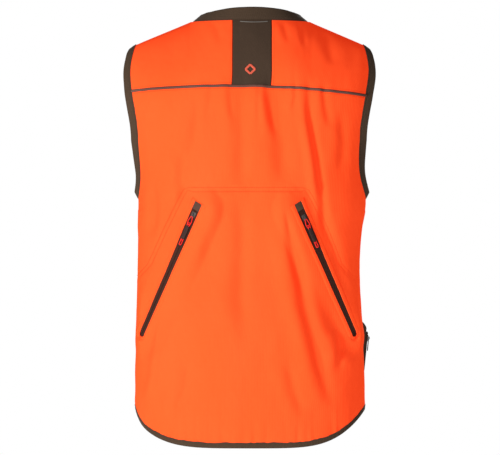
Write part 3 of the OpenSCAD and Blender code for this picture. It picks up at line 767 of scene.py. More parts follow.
def armhole_binding(side, name):
    turn = np.linspace(0, 360, 420, endpoint=False)
    base = arm_point(turn, side)
    along, out = arm_frame(turn, side)
    face = np.cross(along, out)
    face *= np.sign(np.sum(face * (base - np.array([0, 0, 500.0])), 1, keepdims=True))
    wave = noise(turn / 3.1, 0 * turn + side * 3.3, 71)
    soft = noise(turn / 11.0, 0 * turn + side * 5.1, 72)
    low = base - out * (ARM_OVERLAP + 0.35 * wave[:, None]) + face * (0.12 * wave + 0.15 * soft)[:, None]
    high = base + out * (12.75 + 0.25 * soft)[:, None] + face * (0.25 * soft)[:, None]
    low, high, face = (mirror_x(v, side) for v in (low, high, face))
    band = folded(f"armhole_band_{name}", low, high, face, u_fold(1.5, 0.85, -0.55, 17), looped=True)
    for share in (0.2, 0.34):
        line = low + (high - low) * share + face * 0.92
        brown_stitching.row(line, face, 2.6, 2.0, 0.22, 0.2)
    return worn(band, f"armhole_binding_{name}", slot="brown_knit")


def hem_line(angle, up):
    sine = np.sin(np.radians(angle))

    def line(side):
        h = hem_h(side, HEM_HALF_W * sine) + up
        return skin(side, half_w(h) * sine, h)

    return either(np.abs(angle) <= 90, line)


def hem_binding():
    end = 180 - math.degrees(math.asin(FRONT_EDGE / HEM_HALF_W))
    angle = np.linspace(-end, end, 620)
    scallop = 0.75 * noise(angle / 1.7, 0 * angle + 2.2, 81) + 0.4 * noise(angle / 5.0, 0 * angle + 4.2, 82)
    low, high = hem_line(angle, 0), hem_line(angle, HEM_BINDING_W)
    out = unit(low * np.array([0.4, 1, 0]))
    fold_edge = low + out * (0.15 * scallop)[:, None]
    open_edge = high + xyz(0, 0, scallop) + out * (0.25 * scallop)[:, None]
    band = folded("hem_band", open_edge, fold_edge, out, u_fold(1.65, 0.95, -0.75, 13))
    line = open_edge + (fold_edge - open_edge) * 0.22 + out * 0.9
    brown_stitching.row(line, out, 3.4, 2.5, 0.3, 0.35)
    return worn(band, "hem_binding", slot="brown_knit")


def neck_line(angle):
    x = NECK_HALF_W * np.sin(np.radians(angle))
    line = either(np.abs(angle) <= 90, lambda side: skin(side, x, neck_h(side, x)))
    return line + np.array([0, 0, 0.8])


def collar_line(angle):
    p = neck_line(angle)
    across = np.sin(np.radians(angle)) ** 2
    at_back = np.abs(angle) <= 90
    lean = np.where(at_back, 10 + 10 * across, 20 * across)
    rise = np.where(at_back, 22 - 9 * across, 24 - 11 * across)
    return p - unit(p * LEVEL) * lean[:, None] + xyz(0, 0, rise)


def collar():
    end = 180 - math.degrees(math.asin(FRONT_EDGE / NECK_HALF_W))
    angle = np.linspace(-end, end, 420)
    low, high = neck_line(angle) - np.array([0, 0, 2.6]), collar_line(angle)
    along = tangents(low)
    out = unit(np.cross(along, high - low))
    out *= np.sign(np.sum(out * (low * LEVEL), 1, keepdims=True))
    wave = noise(angle / 2.6, 0 * angle + 1.2, 91)
    low = low + out * (0.12 * wave - 1.0)[:, None]
    high = high + out * (0.3 * noise(angle / 9.0, 0 * angle + 3.1, 92))[:, None]
    band = folded("collar_band", low, high, out, u_fold(1.0, 0.35, -1.0, 25))
    for share in (0.28, 0.84):
        line = low + (high - low) * share + out * 0.05
        brown_stitching.row(line, out, 3.0, 2.3, 0.22, 0.2)
    return worn(band, "collar", slot="brown_knit")


def piping():
    reach = float(edge_x(BACK, np.array(YOKE_H - 11))) - 1
    x = np.linspace(reach, -reach, 560)
    p, n = frame_at(BACK, x, yoke_seam_h(x))
    along = tangents(p)
    up = unit(np.cross(n, along))
    twist = 1 + 0.05 * np.sin(np.arange(len(x)) * 2 * math.pi / 5)
    cord = swept("yoke_piping_cord", p + n * 0.5, up, n, oval(2.3, 1.7, 14), PIPING, scale=twist)
    for off in (5.2, -4.6):
        q, m = frame_at(BACK, x[6:-6], yoke_seam_h(x[6:-6]) + off)
        clear = np.abs(x[6:-6]) > YOKE_PANEL_HALF_W if off > 0 else np.abs(x[6:-6]) > 0
        for part in np.split(np.arange(len(q)), np.where(np.diff(clear.astype(int)))[0] + 1):
            if clear[part[0]] and len(part) > 3:
                stitching.row(q[part], m[part], 3.0, 2.2, 0.2, 0.16)
    return worn(cord, "yoke_piping", slot="piping")


for side, name in SIDES:
    armhole_binding(side, name)
hem_binding()
collar()
piping()


def neck_tape():
    x = np.linspace(20, -26, 60)[:, None]
    h = SEAT_H - 1.6 - 1.2 * (1 - ((x + 3) / 23) ** 2) + np.linspace(0, 1.2, 5)[None, :]
    tape = cloth_sheet("neck_seam_tape_strip", skin(BACK, x, h) + 0.7 * OUT, 0.6, GREY, GREY)
    return worn(tape, "neck_seam_tape", slot="grey_tape")


def emblem():
    """A generic lozenge in satin stitch: threads laid across the ring between two squares."""
    mid_h, size, count = 621.0, 21.0, 34
    depths = [float(half_d(BACK, np.array(mid_h + off))) for off in (-5, 0, 5)]
    tilt = math.atan((depths[2] - depths[0]) / 10)
    up = np.array([0, math.sin(tilt), math.cos(tilt)])
    out = np.array([0, math.cos(tilt), -math.sin(tilt)])
    right = np.array([1.0, 0, 0])
    centre = np.array([0, SEAM_GAP + depths[1] + 0.55, mid_h])
    outer, inner = size * 0.7 / math.sqrt(2), size * 0.36 / math.sqrt(2)
    threads = Threads()
    corners = [np.array(corner) for corner in ((1, 0), (0, 1), (-1, 0), (0, -1))]
    for a, b in zip(corners, corners[1:] + corners[:1]):
        across = (a + b) / math.sqrt(2)
        for k in range(count):
            mid = (a + (b - a) * (k + 0.5) / count) * (outer + inner) / 2
            p = centre + right * mid[0] + up * mid[1]
            threads.add(p, right * across[0] + up * across[1], out, (outer - inner) * 0.74, 0.34, 0.45)
    return worn(threads.build("yoke_lozenge_stitching", CORAL), "yoke_emblem", slot="coral_patch")


neck_tape()
emblem()


def local_plate(w, l, r, count=7):
    """A rounded rectangle outline, w across and l along."""
    pts = []
    for cx, cz, start in ((1, 1, 0), (-1, 1, 90), (-1, -1, 180), (1, -1, 270)):
        for k in range(count):
            a = math.radians(start + 90 * k / (count - 1))
            pts.append((cx * (w / 2 - r) + r * math.cos(a), cz * (l / 2 - r) + r * math.sin(a)))
    return np.array(pts)


class Place:
    """A local frame as in the part's source: a across, b outward, c up."""

    def __init__(self, origin, axes=np.eye(3), side=LEFT):
        self.origin, self.axes, self.side = np.array(origin, float), np.array(axes, float), side

    def at(self, p):
        return mirror_x(self.origin + np.asarray(p, float) @ self.axes, self.side)

    def way(self, v):
        return mirror_x(np.asarray(v, float) @ self.axes, self.side)


def turned(about_z, about_y):
    cz, sz = math.cos(about_z), math.sin(about_z)
    cy, sy = math.cos(about_y), math.sin(about_y)
    rz = np.array([[cz, -sz, 0], [sz, cz, 0], [0, 0, 1]])
    ry = np.array([[cy, 0, sy], [0, 1, 0], [-sy, 0, cy]])
    return (rz @ ry).T


ZIP_TURN = math.atan(ZIP_SLOPE)
ZIP_RUN = (ZIP_LOW[0] - ZIP_TOP[0]) / math.cos(ZIP_TURN)
ZIP_FALL = ZIP_TOP[1] - ZIP_LOW[1]
ZIP_LEAN = math.atan(ZIP_RUN / ZIP_FALL)
ZIP_LEN = math.hypot(ZIP_RUN, ZIP_FALL)
BACK_SLIDER_Z = {LEFT: -10.0, RIGHT: -15.0}


def back_place(side, drop=0.0):
    axes = turned(-ZIP_TURN, -ZIP_LEAN)
    origin = np.array([ZIP_TOP[0] + side * ZIP_SHIFT, ZIP_TOP_Y + SEAM_GAP, ZIP_TOP[1]]) + drop * axes[2]
    return Place(origin, axes, side)


def front_place(h):
    return Place([0, -FRONT_DEPTH - SEAM_GAP, h], turned(math.pi, 0))


POCKET_FACE_X = {LEFT: 182.0, RIGHT: 193.5}
POCKET_ZIP_Y = {LEFT: -62.0, RIGHT: -56.0}
POCKET_LEAN = {LEFT: 0.0, RIGHT: math.radians(5.7)}
POCKET_LOW, POCKET_HIGH = 76.0, 216.0
POCKET_ZIP_LOW, POCKET_ZIP_HIGH = 96.0, 186.0


def pocket_place(side, drop=0.0):
    lean = POCKET_LEAN[side]
    tilt = np.array([[math.cos(lean), 0, -math.sin(lean)], [0, 1, 0], [math.sin(lean), 0, math.cos(lean)]])
    axes = turned(-math.pi / 2, 0) @ tilt
    origin = np.array([POCKET_FACE_X[side], POCKET_ZIP_Y[side], POCKET_ZIP_HIGH]) + drop * axes[2]
    return Place(origin, axes, side)


class Solid:
    """Several closed local solids gathered into one object, with softened edges."""

    def __init__(self, place):
        self.place, self.verts, self.faces = place, [], []

    def loft(self, rings):
        """Rings of equal count, capped at both ends."""
        k, base = len(rings[0]), len(self.verts)
        for ring in rings:
            self.verts += [tuple(p) for p in ring]
        self.faces += ring_faces(len(rings), k, base)

    def plate(self, outline, b0, b1, centre=(0, 0), soft=0.25):
        """A prism through b0 to b1 with rounded rims."""
        o = np.asarray(outline, float)
        mid = o.mean(0)
        rim = soft * 0.3
        steps = [(b0, 1), (b0 + rim, 0.3), (b0 + soft, 0), (b1 - soft, 0), (b1 - rim, 0.3), (b1, 1)]
        rings = []
        for b, inset in steps:
            d = o - mid
            ring = mid + d * (1 - soft * inset / (np.linalg.norm(d, axis=1, keepdims=True) + 1e-9))
            rings.append([(x + centre[0], b, z + centre[1]) for x, z in ring])
        self.loft(rings)

    def tube(self, path, radius, count=10):
        path = np.asarray(path, float)
        t = tangents(path)
        ref = np.array([0.0, 1.0, 0.0]) if abs(t[0][1]) < 0.9 else np.array([1.0, 0, 0])
        n = unit(np.cross(t, ref) + 1e-9)
        m = np.cross(n, t)
        radius = np.broadcast_to(radius, len(path))
        rings = []
        for p, a, b, r in zip(path, n, m, radius):
            ang = np.arange(count) * 2 * math.pi / count
            rings.append([tuple(p + r * (a * math.cos(q) + b * math.sin(q))) for q in ang])
        self.loft(rings)

    def build(self, name, material):
        return make_solid(name, self.place.at(np.array(self.verts)), self.faces, material)


def hanger_loop():
    place = Place([0, 67, SEAT_H - 8])
    a = np.radians(np.arange(0, 360, 9))
    c, s = np.cos(a), np.sin(a)
    route = xyz(15.8 * np.sign(c) * np.abs(c) ** 0.5, 0, 5.2 * np.sign(s) * np.abs(s) ** 0.7)
    side = place.way(np.cross(tangents(route, looped=True), OUT))
    out = np.tile(OUT, (len(route), 1))
    tape = swept("hanger_loop_tape", place.at(route), side, out, oval(1.55, 0.55, 10, 3), KNIT, looped=True)
    return worn(tape, "hanger_loop", slot="brown_knit")


def size_label():
    tilt = math.radians(28)
    u = np.linspace(17.6, -17.6, 40)[:, None]
    v = np.linspace(-12.6, 12.6, 30)[None, :]
    bow = 0.9 * np.sin(u / 8) * (v / 13) ** 2
    P = xyz(u, 84.6 + bow * math.cos(tilt) - v * math.sin(tilt), SEAT_H - 26 + v * math.cos(tilt))
    return worn(cloth_sheet("size_label_blank", P, 0.4, GREY_LABEL, GREY_LABEL), "size_label", slot="label")


GREY_LABEL = cloth_material("satin_label", (0.016, 0.015, 0.014), (0.026, 0.024, 0.023), 0.45, 0.05, 500.0)
hanger_loop()
size_label()

# ---------------------------------------------------------------- pockets and facings


BAG_TOP_H = 430
BAG_INSET = 8.2


def bag():
    f = 0.96 * np.sin(np.radians(80 * np.linspace(-1, 1, 90)))[:, None]
    low = hem_h(BACK, f * HEM_HALF_W) + 14
    h = low + (BAG_TOP_H - low) * np.linspace(0, 1, 80)[None, :]
    p = skin(BACK, f * half_w(h), h)
    out = unit(p * np.array([0.4, 1, 0]))
    soft = 1.1 * noise(f * 5, h / 60, 101) + 0.5 * noise(f * 14, h / 25, 102) - 0.6
    P = p + out * (np.minimum(soft, 0.4) - BAG_INSET)[..., None] - xyz(np.sign(f) * 4 * f * f, 0, 0)
    return worn(cloth_sheet("game_bag_cloth", P, 0.9, LINING, BROWN), "game_bag", slot="bag_cloth")


def side_x(y, h):
    return half_w(h) * section((np.abs(y) - SEAM_GAP) / FRONT_DEPTH)


def cargo_pocket(side, name):
    zip_y, face_x = POCKET_ZIP_Y[side], POCKET_FACE_X[side]
    half, lift = 11.0, 2.8
    h = np.linspace(POCKET_LOW, POCKET_HIGH, 90)[None, :]
    face_x = face_x + math.tan(POCKET_LEAN[side]) * (h[0] - POCKET_ZIP_HIGH)
    full = smooth((h - POCKET_LOW) / 18) * smooth((POCKET_HIGH - h) / 24)
    x_far = side_x(np.array(zip_y - half - 8), np.array(150.0))
    f = np.linspace(0, 0.9, 50)[:, None]
    x = 66 + (x_far - 66) * f
    p = skin(FRONT, x, h)
    out = unit(p * np.array([0.3, 1, 0]))
    swell = 16 * full * smooth(f / 0.2) * (0.75 + 0.25 * smooth(1 - f))
    near, rear = zip_y - half, zip_y + half
    front_part = p + out * (lift + swell)[..., None]
    columns = []
    for y in np.linspace(near, rear, 15):
        x0 = side_x(np.array(y), h[0]) + lift
        columns.append(xyz(x0 + np.maximum(0, face_x - x0) * full[0], y, h[0]))
    last_y = min(-2, rear + 8)
    end = xyz(side_x(np.array(last_y), h[0]) + lift, last_y, h[0])
    blend = [front_part[-1] + (columns[0] - front_part[-1]) * t for t in np.linspace(0, 1, 9)[1:-1]]
    tail = [columns[-1] + (end - columns[-1]) * t for t in np.linspace(0, 1, 6)[1:]]
    P = np.concatenate([front_part, np.array(blend), np.array(columns), np.array(tail)])
    N, _ = grid_normals(P)
    i = np.arange(P.shape[0])[:, None]
    calm = smooth((P.shape[0] - 24 - i) / 18) * full * smooth(i / 6)
    bulge = 1.3 * noise(i / 9, h / 34, 111 + side) + 0.6 * noise(i / 4, h / 17, 112 + side)
    P = P + N * (np.minimum(bulge, 0.7) * calm)[..., None]
    Q = mirror_x(P, side)
    pocket = cloth_sheet(f"cargo_pocket_cloth_{name}", Q, 1.4, BROWN, LINING)
    M, _ = grid_normals(Q)
    for j in (4, -6):
        brown_stitching.row(Q[2:-3, j], M[2:-3, j], 3.2, 2.4, 0.24, 0.22)
    brown_stitching.row(Q[2, 4:-5], M[2, 4:-5], 3.2, 2.4, 0.24, 0.22)
    return worn(pocket, f"cargo_pocket_{name}", slot="brown_cloth")


def front_strip(name, across, up, count, backward, thick):
    """A strip of brown cloth behind the front zip, set back as backward(a, c) says."""
    a = np.linspace(*across, count)[:, None]
    c = np.linspace(*up, 160)[None, :]
    P = front_place(0).at(xyz(a, backward(a, c), c))
    return cloth_sheet(name, P, thick, BROWN, BROWN, hint=np.broadcast_to(OUT, P.shape))


def facing(side, name):
    across = (-side * 9.4, -side * 35.6)
    strip = front_strip(
        f"front_facing_strip_{name}", across, (65, 609), 24,
        lambda a, c: -3.75 + 0.12 * noise(a / 6, c / 24, 121 + side), 0.7,
    )
    return worn(strip, f"front_facing_{name}", slot="brown_cloth")


def wind_flap():
    """A flap of cloth behind the front zip, sewn along the wearer's left facing."""
    flap = front_strip(
        "front_wind_flap", (30, -10), (67, 607), 36,
        lambda a, c: -4.7 - 2.6 * smooth((30 - a) / 14) + 0.15 * noise(a / 9, c / 30, 127), 0.6,
    )
    return worn(flap, slot="brown_cloth")


bag()
wind_flap()
for side, name in SIDES:
    cargo_pocket(side, name)
for side, name in SIDES:
    facing(side, name)

# ---------------------------------------------------------------- zips


def tape_strip(name, place, inner, outer, low, b, thick, node, ways=(-1, 1)):
    """Woven zip tape on one or both sides of a zip, down to low, with a raised selvedge cord."""
    shares = np.array([0, 0.04, 0.12, 0.2, 0.35, 0.55, 0.8, 0.94, 1.0])
    crown = np.array([0.0, 0.22, 0.28, 0.05, 0.0, 0.03, 0.0, 0.05, -0.1])
    a = inner + (outer - inner) * np.concatenate([shares, shares[::-1]])
    ring = np.concatenate([b + thick / 2 + crown, np.full(len(shares), b - thick / 2)])
    c = np.linspace(0, low, int(-low / 3) + 1)
    verts, faces = [], []
    for way in ways:
        faces += ring_faces(len(c), len(a), len(verts))
        verts += xyz(way * a[None, :], ring[None, :], c[:, None]).reshape(-1, 3).tolist()
    return worn(make_solid(name, place.at(verts), faces, TAPE), node, slot="zip_tape")


LIP_IN = 7.1


def lip_offset(c):
    """How far a welt's folded edge stands from the zip's middle line, by height along the zip."""
    low = -c
    slim = 1.5 * smooth((low - 30) / 90) + 0.9 * smooth((low - 130) / 85)
    over = np.clip((low - ZIP_LEN + 3.2) / 4.1, 0, 1)
    return (LIP_IN - slim) * np.sqrt(1 - 0.97 * over**2)


def welts(side, name):
    """The shell cloth turned in along both sides of a back zip, with its topstitching."""
    place = back_place(side)
    c = np.concatenate([np.linspace(14.5, -ZIP_LEN + 6, 150), np.linspace(-ZIP_LEN + 5.5, -ZIP_LEN - 4, 26)])
    across, rise = np.array([
        (0.0, 3.45), (0.0, 3.6), (0.12, 3.85), (0.5, 4.2), (1.1, 4.3), (1.9, 4.2), (2.4, 4.02),
        (2.9, 4.15), (4.2, 4.05), (5.6, 3.75), (7.2, 3.2), (8.2, 2.6), (7.0, 2.4), (3.0, 2.9),
    ]).T
    tuck = smooth((c - 11.5) / 3) + smooth((-ZIP_LEN - 1 - c) / 3)
    drop = 0.95 * smooth((-c - ZIP_LEN + 5) / 4)
    outward = place.way(OUT)
    for s, tag in ((-1, "inner"), (1, "outer")):
        ripple = noise(c / 7, 2.5 * s, 131 + side)
        slow = noise(c / 31, 4.5 * s, 133 + side)
        edge = lip_offset(c) + 0.16 * ripple
        wave = 0.14 * ripple + 0.12 * slow - 1.6 * tuck - drop
        rings = place.at(xyz(s * (edge[:, None] + across), rise + wave[:, None] * (rise > 3), c[:, None]))
        lip = make_solid(f"back_zip_welt_{name}_{tag}", rings, ring_faces(len(c), len(across)), ORANGE)
        worn(lip, slot="orange_shell")
        line = place.at(xyz(s * (edge + 2.4), 4.02 - drop - 1.2 * tuck, c))[4:-4]
        stitching.row(line, outward, 2.9, 2.1, 0.22, 0.2)
    top_bar = place.at(xyz(np.linspace(-7, 7, 12), 4.0, 13.2))
    stitching.row(top_bar, outward, 1.5, 1.4, 0.3, 0.25)
    low_bar = place.at(xyz(np.linspace(-4, 4, 10), 2.75, -ZIP_LEN - 1.2))
    stitching.row(low_bar, outward, 1.2, 1.1, 0.3, 0.25)


def backing(side, name):
    """The dark flap of cloth that shows behind a back zip's gap."""
    solid = Solid(back_place(side))
    c = np.linspace(9.0, -ZIP_LEN - 2, 90)
    wave = 0.05 * noise(c / 9, 0 * c + 1.5, 141 + side)
    solid.loft([[(-5.6, 0.12, z), (-5.6, 0.34 + w, z), (0, 0.38 + w, z), (5.6, 0.34 + w, z), (5.6, 0.12, z)]
                for z, w in zip(c, wave)])
    return worn(solid.build(f"back_zip_flap_{name}", TAPE), slot="zip_tape")


def end_patch(side, name):
    solid = Solid(back_place(side))
    solid.plate(local_plate(15.0, 13.4, 1.2), 2.55, 3.75, (0, 5.4), 0.35)
    patch = solid.build(f"back_zip_end_patch_{name}", TAN if side == RIGHT else PATCH)
    return worn(patch, f"back_zip_garage_{name}", slot="tan_cloth")


def shield(w, l):
    """A slider's outline: wide at the mouth end, narrower at the tail."""
    wide, end, taper = w / 2, l / 2, 0.66
    tail = wide * taper
    half = [(tail * 0.4, -end), (tail * 0.82, 0.3 - end), (tail, 1.2 - end), (wide, l * 0.12),
            (wide, end - 1.4), (wide * 0.86, end - 0.4), (wide * 0.5, end)]
    other = [(-x, z) for x, z in reversed(half)]
    start = other[4:]
    return np.array(start + half + [(0.0, end - 0.5)] + other[:4])


def slider(kind, name, place, size, heights, plate, crown, material):
    """A zip slider: two shields joined by a post and side walls, with a crown that holds the pull."""
    (w, l), (under_y, over_y), (crown_w, crown_h, crown_l) = size, heights, crown
    s = Solid(place)
    s.plate(shield(w, l), over_y, over_y + plate, soft=0.3)
    s.plate(shield(w * 0.98, l * 0.98), under_y - plate, under_y, soft=0.3)
    s.plate(local_plate(1.0, l * 0.27, 0.3, 3), under_y - 0.1, over_y + 0.1, (0, l / 2 - l * 0.2), 0.05)
    wall = local_plate(0.7, l * 0.4, 0.3, 3)
    for e in (-1, 1):
        s.plate(wall, over_y - 0.55, over_y + 0.2, (e * (w * 0.40), -l * 0.22), 0.1)
    t = np.linspace(0, math.pi, 17)
    arch = xyz(0, over_y + plate + (crown_h - 0.55) * np.sin(t) ** 0.55, (crown_l / 2 - 0.6) * np.cos(t))
    arch[[0, -1], 1] -= 0.4
    outline = ((-1, -0.7), (-0.8, -1), (0.8, -1), (1, -0.7), (1, 0.7), (0.8, 1), (-0.8, 1), (-1, 0.7))
    s.loft([
        [tuple(p + np.array([crown_w / 2 * u, -d[2] * 0.45 * v, d[1] * 0.45 * v])) for u, v in outline]
        for p, d in zip(arch, tangents(arch))
    ])
    obj = s.build(f"{kind}_slider_body{name}", material)
    return worn(obj, f"{kind}_zip_slider{name}", slot="dark_metal", body=f"{kind}_slider{name}")


def loop_path(half, top, low, b, count=11):
    """Up one leg, round the bar and down the other."""
    a = np.linspace(0, math.pi, count)
    leg = np.linspace(low, top, 6)[:-1]
    bend = xyz(-half * np.cos(a), b, top + half * 0.55 * np.sin(a))
    return np.concatenate([xyz(-half, b, leg), bend, xyz(half, b, np.linspace(top, low, 6)[1:])])


def braided(path, radius, step=0.45):
    path = resample(path, step)
    return path, radius * (1 + 0.07 * np.sin(np.arange(len(path)) * 2 * math.pi / 4.0))


SMALL_SLIDER = ((8.4, 11), (1.42, 3.5), 0.8, (2.0, 2.8, 7.0))
FRONT_SLIDER = ((11.6, 15), (-5.0, -1.2), 1.3, (2.4, 3.2, 8.0))
FRONT_SLIDER_H = 627.0
FRONT_TAPE_TOP, FRONT_TAPE_LEN = 643, 580.0
POCKET_SLIDER_Z = -9
PULL_B = SMALL_SLIDER[1][1] + SMALL_SLIDER[2] + 0.98


def back_pull(side, name):
    """A small metal link on the slider, a braided cord loop through it and a ribbed grip."""
    place = back_place(side, BACK_SLIDER_Z[side])
    body = f"back_pull_{name}"
    link = Solid(place)
    link.tube(resample(loop_path(1.7, 0.0, -5.6, PULL_B, 15), 0.5), 0.6)
    link.tube([(-1.9, PULL_B, -5.4), (0, PULL_B, -5.7), (1.9, PULL_B, -5.4)], 0.6)
    worn(link.build(f"back_zip_pull_link_{name}", GREY_METAL), slot="dark_metal", body=body)
    cord = Solid(place)
    loop = loop_path(2.6, -4.2, -20.5, PULL_B + 0.2)
    loop[:, 0] *= 0.62 + 0.75 * np.exp(-(((loop[:, 2] + 12.5) / 5.5) ** 2))
    for path in (loop, -1 * loop_path(1.9, 53.4, 43.5, -PULL_B)):
        cord.tube(*braided(path, 0.78))
    for z, r in ((-14.6, 1.0), (-17.4, 1.2), (-46.2, 0.95), (-54.6, 1.05)):
        knot = [(-2.3, PULL_B - 0.1, z + 0.5), (0, PULL_B + 0.8, z), (2.3, PULL_B - 0.1, z + 0.3)]
        cord.tube(knot, [0.6 * r, r, 0.6 * r])
    worn(cord.build(f"back_zip_pull_cord_{name}", RED), f"back_zip_cord_{name}", slot="red_cord", body=body)
    grip = Solid(place)
    z = np.linspace(-20.2, -43.8, 48)
    t = (z - z[0]) / (z[-1] - z[0])
    wide = 3.1 + 0.65 * np.sin(math.pi * t) ** 0.7 - 0.5 * (t > 0.97) - 0.5 * (t < 0.03)
    rib = 0.28 * np.where((t > 0.2) & (t < 0.8), np.cos(t * 2 * math.pi * 8), 0)
    grip.loft([
        [(a, PULL_B + b, zi) for a, b in oval(wi, 1.45 + ri, 16, 3.2)] for zi, wi, ri in zip(z, wide, rib)
    ])
    made = grip.build(f"back_zip_pull_grip_{name}", GRIP)
    worn(made, f"back_zip_grip_{name}", slot="grip_rubber", body=body)


def tab_pull(name, place, b, eye, leg, top, low, w, thick, node, body, slot, material, hole=1.4):
    """A metal pull: an eye through the slider's crown, two legs and a tapered tab with a hole."""
    s = Solid(place)
    s.tube(resample(loop_path(eye, 0.0, -leg, b, 15), 0.6), 0.68)
    angles = np.radians(np.arange(0, 360, 15))
    x, z = np.cos(angles), np.sin(angles)
    square = (np.abs(x) ** 4 + np.abs(z) ** 4) ** -0.25
    taper = 0.84 + 0.16 * (1 - z * square) / 2
    half_l = (top - low) / 2
    outer = np.stack([w / 2 * x * square * taper, half_l * z * square], 1)
    inner = np.stack([hole * x, hole * z - half_l * 0.5], 1)
    face, rim, small = thick / 2, thick / 2 - 0.25, outer * 0.94
    rings = ((small, face), (outer, rim), (outer, -rim), (small, -face), (inner, -face), (inner, face))
    s.faces += ring_faces(len(rings), len(angles), len(s.verts), looped=True)
    for ring, off in rings:
        s.verts += xyz(ring[:, 0], b + off, ring[:, 1] + (top + low) / 2).tolist()
    return worn(s.build(name, material), node, slot=slot, body=body)


def pocket_zip_edge(side, name):
    """The pocket's cloth folded up along its zip, under the outer edges of the tapes."""
    solid = Solid(pocket_place(side))
    end = POCKET_ZIP_LOW - POCKET_ZIP_HIGH
    low, high, soft = -0.6, 2.72, 0.4
    for a0, a1, c0, c1 in ((-6.4, -4.6, 1.6, end - 1.6), (4.6, 6.4, 1.6, end - 1.6),
                           (-4.6, 4.6, 1.6, 0.1), (-4.6, 4.6, end - 0.1, end - 1.6)):
        top = [(a0 + soft, high), (a1 - soft, high)]
        ring = [(a0, low), (a0, high - soft), *top, (a1, high - soft), (a1, low)]
        solid.loft([[(a, b, c) for a, b in ring] for c in np.linspace(c0, c1, 40)])
    return worn(solid.build(f"pocket_zip_edge_{name}", BROWN), slot="brown_cloth")


for side, name in SIDES:
    backing(side, name)
    tape_strip(
        f"back_zip_tape_weave_{name}", back_place(side), 0.3, 8.0, 6 - ZIP_LEN, 3.0, 0.6,
        f"back_zip_tape_{name}",
    )
    welts(side, name)
    end_patch(side, name)
    slider("back", f"_{name}", back_place(side, BACK_SLIDER_Z[side]), *SMALL_SLIDER, GREY_METAL)
    back_pull(side, name)
    tape_strip(
        f"pocket_zip_tape_weave_{name}", pocket_place(side), 0.7, 6.0, POCKET_ZIP_LOW - POCKET_ZIP_HIGH,
        3.0, 0.6, f"pocket_zip_tape_{name}",
    )
    slider("pocket", f"_{name}", pocket_place(side, POCKET_SLIDER_Z), *SMALL_SLIDER, DARK_METAL)
    tab_pull(
        f"pocket_pull_tab_{name}", pocket_place(side, POCKET_SLIDER_Z), PULL_B, 2.5, 9.0, -8.6, -21.4, 6.4,
        1.5, f"pocket_zip_puller_{name}", f"pocket_pull_{name}", "bright_metal", BRIGHT, 1.1,
    )
    tape_strip(
        f"front_zip_tape_weave_{name}", front_place(FRONT_TAPE_TOP), 1.0, 15.0, -FRONT_TAPE_LEN, -3.15, 0.5,
        f"front_zip_tape_{name}", ways=(-side,),
    )
for side, name in SIDES:
    pocket_zip_edge(side, name)
slider("front", "", front_place(FRONT_SLIDER_H), *FRONT_SLIDER, DARK_METAL)
tab_pull(
    "front_pull_tab", front_place(FRONT_SLIDER_H), 1.2, 2.9, 12.0, -11.3, -34.7, 7.8, 1.6,
    "front_zip_puller", "front_puller", "dark_metal", DARK_METAL, 1.5,
)

# ---------------------------------------------------------------- sewn lines on the shell


def surface_row(points, side=BACK, **kw):
    """Stitches on the worn cloth along a line of (x, h) points."""
    p, n = frame_at(side, *resample(points, 1.2).T)
    stitching.row(p, n, **kw)


for inset in (0, STITCH_GAP):
    surface_row(pocket_outline(inset), pitch=3.0, length=2.4, half_wide=0.34, lift=0.32)
for s in (-1, 1):
    seam = [(s * (YOKE_PANEL_HALF_W + 3.4), h) for h in np.linspace(float(yoke_seam_h(33)) + 6, 694, 20)]
    surface_row(seam, pitch=3.0, length=2.2, half_wide=0.2, lift=0.16)
    for off in (4.2, 10.0):
        edge = [(s * (FRONT_EDGE + off), h) for h in np.linspace(74, 606, 40)]
        surface_row(edge, FRONT, pitch=3.2, length=2.4, half_wide=0.24, lift=0.14)

shell_threads = worn(stitching.build("shell_topstitching", ORANGE_THREAD), slot="orange_shell")
band_threads = worn(brown_stitching.build("binding_topstitching", BROWN_THREAD), slot="brown_knit")

# ---------------------------------------------------------------- materials of the CAD pieces kept

KEPT = ["front_zip_top_stops", "front_zip_box", "front_zip_pins"]
for _, name in SIDES:
    KEPT += [f"front_zip_teeth_{name}", f"back_zip_coil_{name}", f"pocket_zip_coil_{name}"]
for node in KEPT:
    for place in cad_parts[node].material_slots:
        place.material = PLASTIC

# ---------------------------------------------------------------- light, floor and camera


AIM = (0.0, 0.0, -0.340)
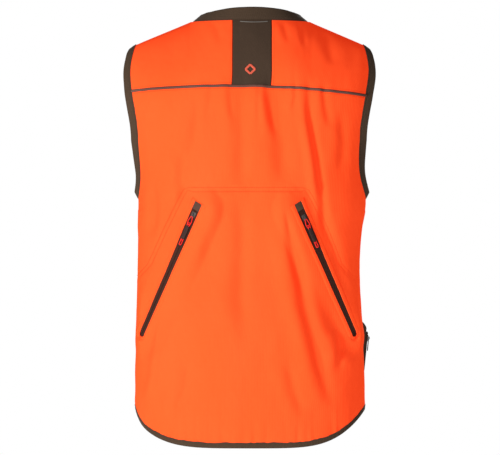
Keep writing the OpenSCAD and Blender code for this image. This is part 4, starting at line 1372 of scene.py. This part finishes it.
# Each light's place, the width of its disk and its watts.
LIGHTS = {
    "key": ((2.1, 2.5, -0.45), 0.8, 95),
    "fill": ((-1.9, 2.6, -0.2), 1.8, 22),
    "front_key": ((-0.8, -2.9, 0.3), 1.4, 72),
    "front_fill": ((1.2, -2.8, 0.0), 1.8, 14),
}
for name, (place, size, watts) in LIGHTS.items():
    data = bpy.data.lights.new(name, "AREA")
    data.shape = "DISK"
    data.size = size
    data.energy = watts
    lamp = bpy.data.objects.new(name, data)
    bpy.context.scene.collection.objects.link(lamp)
    lamp.location = place
    east, north, rise = np.array(AIM) - np.array(place)
    pitch = math.atan2(rise, math.hypot(east, north))
    lamp.rotation_euler = (math.pi / 2 + pitch, 0, math.atan2(north, east) - math.pi / 2)

world = bpy.data.worlds.new("studio")
bpy.context.scene.world = world
world.use_nodes = True
tree = world.node_tree
sky = tree.nodes["Background"]
sky.inputs["Color"].default_value = (1, 1, 1, 1)
sky.inputs["Strength"].default_value = 0.16
white = tree.nodes.new("ShaderNodeBackground")
white.inputs["Color"].default_value = (1, 1, 1, 1)
seen = tree.nodes.new("ShaderNodeLightPath")
mix = tree.nodes.new("ShaderNodeMixShader")
tree.links.new(seen.outputs["Is Camera Ray"], mix.inputs["Fac"])
tree.links.new(sky.outputs["Background"], mix.inputs[1])
tree.links.new(white.outputs["Background"], mix.inputs[2])
tree.links.new(mix.outputs["Shader"], tree.nodes["World Output"].inputs["Surface"])

FLOOR_Z = -1.45
paper = Shader("pale_floor", 0.9)
paper.colour(paper.noise(3.0), (0.86, 0.86, 0.86), (0.9, 0.9, 0.9))
bpy.ops.mesh.primitive_circle_add(vertices=96, radius=2.6, fill_type="NGON", location=(0, 0, FLOOR_Z))
floor = bpy.context.object
floor.name = "studio_floor"
floor.data.materials.append(paper.material)

camera_data = bpy.data.cameras.new("camera")
camera = bpy.data.objects.new("camera", camera_data)
bpy.context.scene.collection.objects.link(camera)
VIEW_DISTANCE = 8.0
VIEW_WIDTH = 0.825
BACK_PLANE = 0.05
camera_data.sensor_width = 36
camera_data.lens = 36 * (VIEW_DISTANCE - BACK_PLANE) / VIEW_WIDTH
camera.location = (0.0005, VIEW_DISTANCE, -0.3405)
camera.rotation_euler = (math.pi / 2, 0, math.pi)
bpy.context.scene.camera = camera

settings = bpy.context.scene.view_settings
settings.view_transform = "Standard"
settings.look = "None"
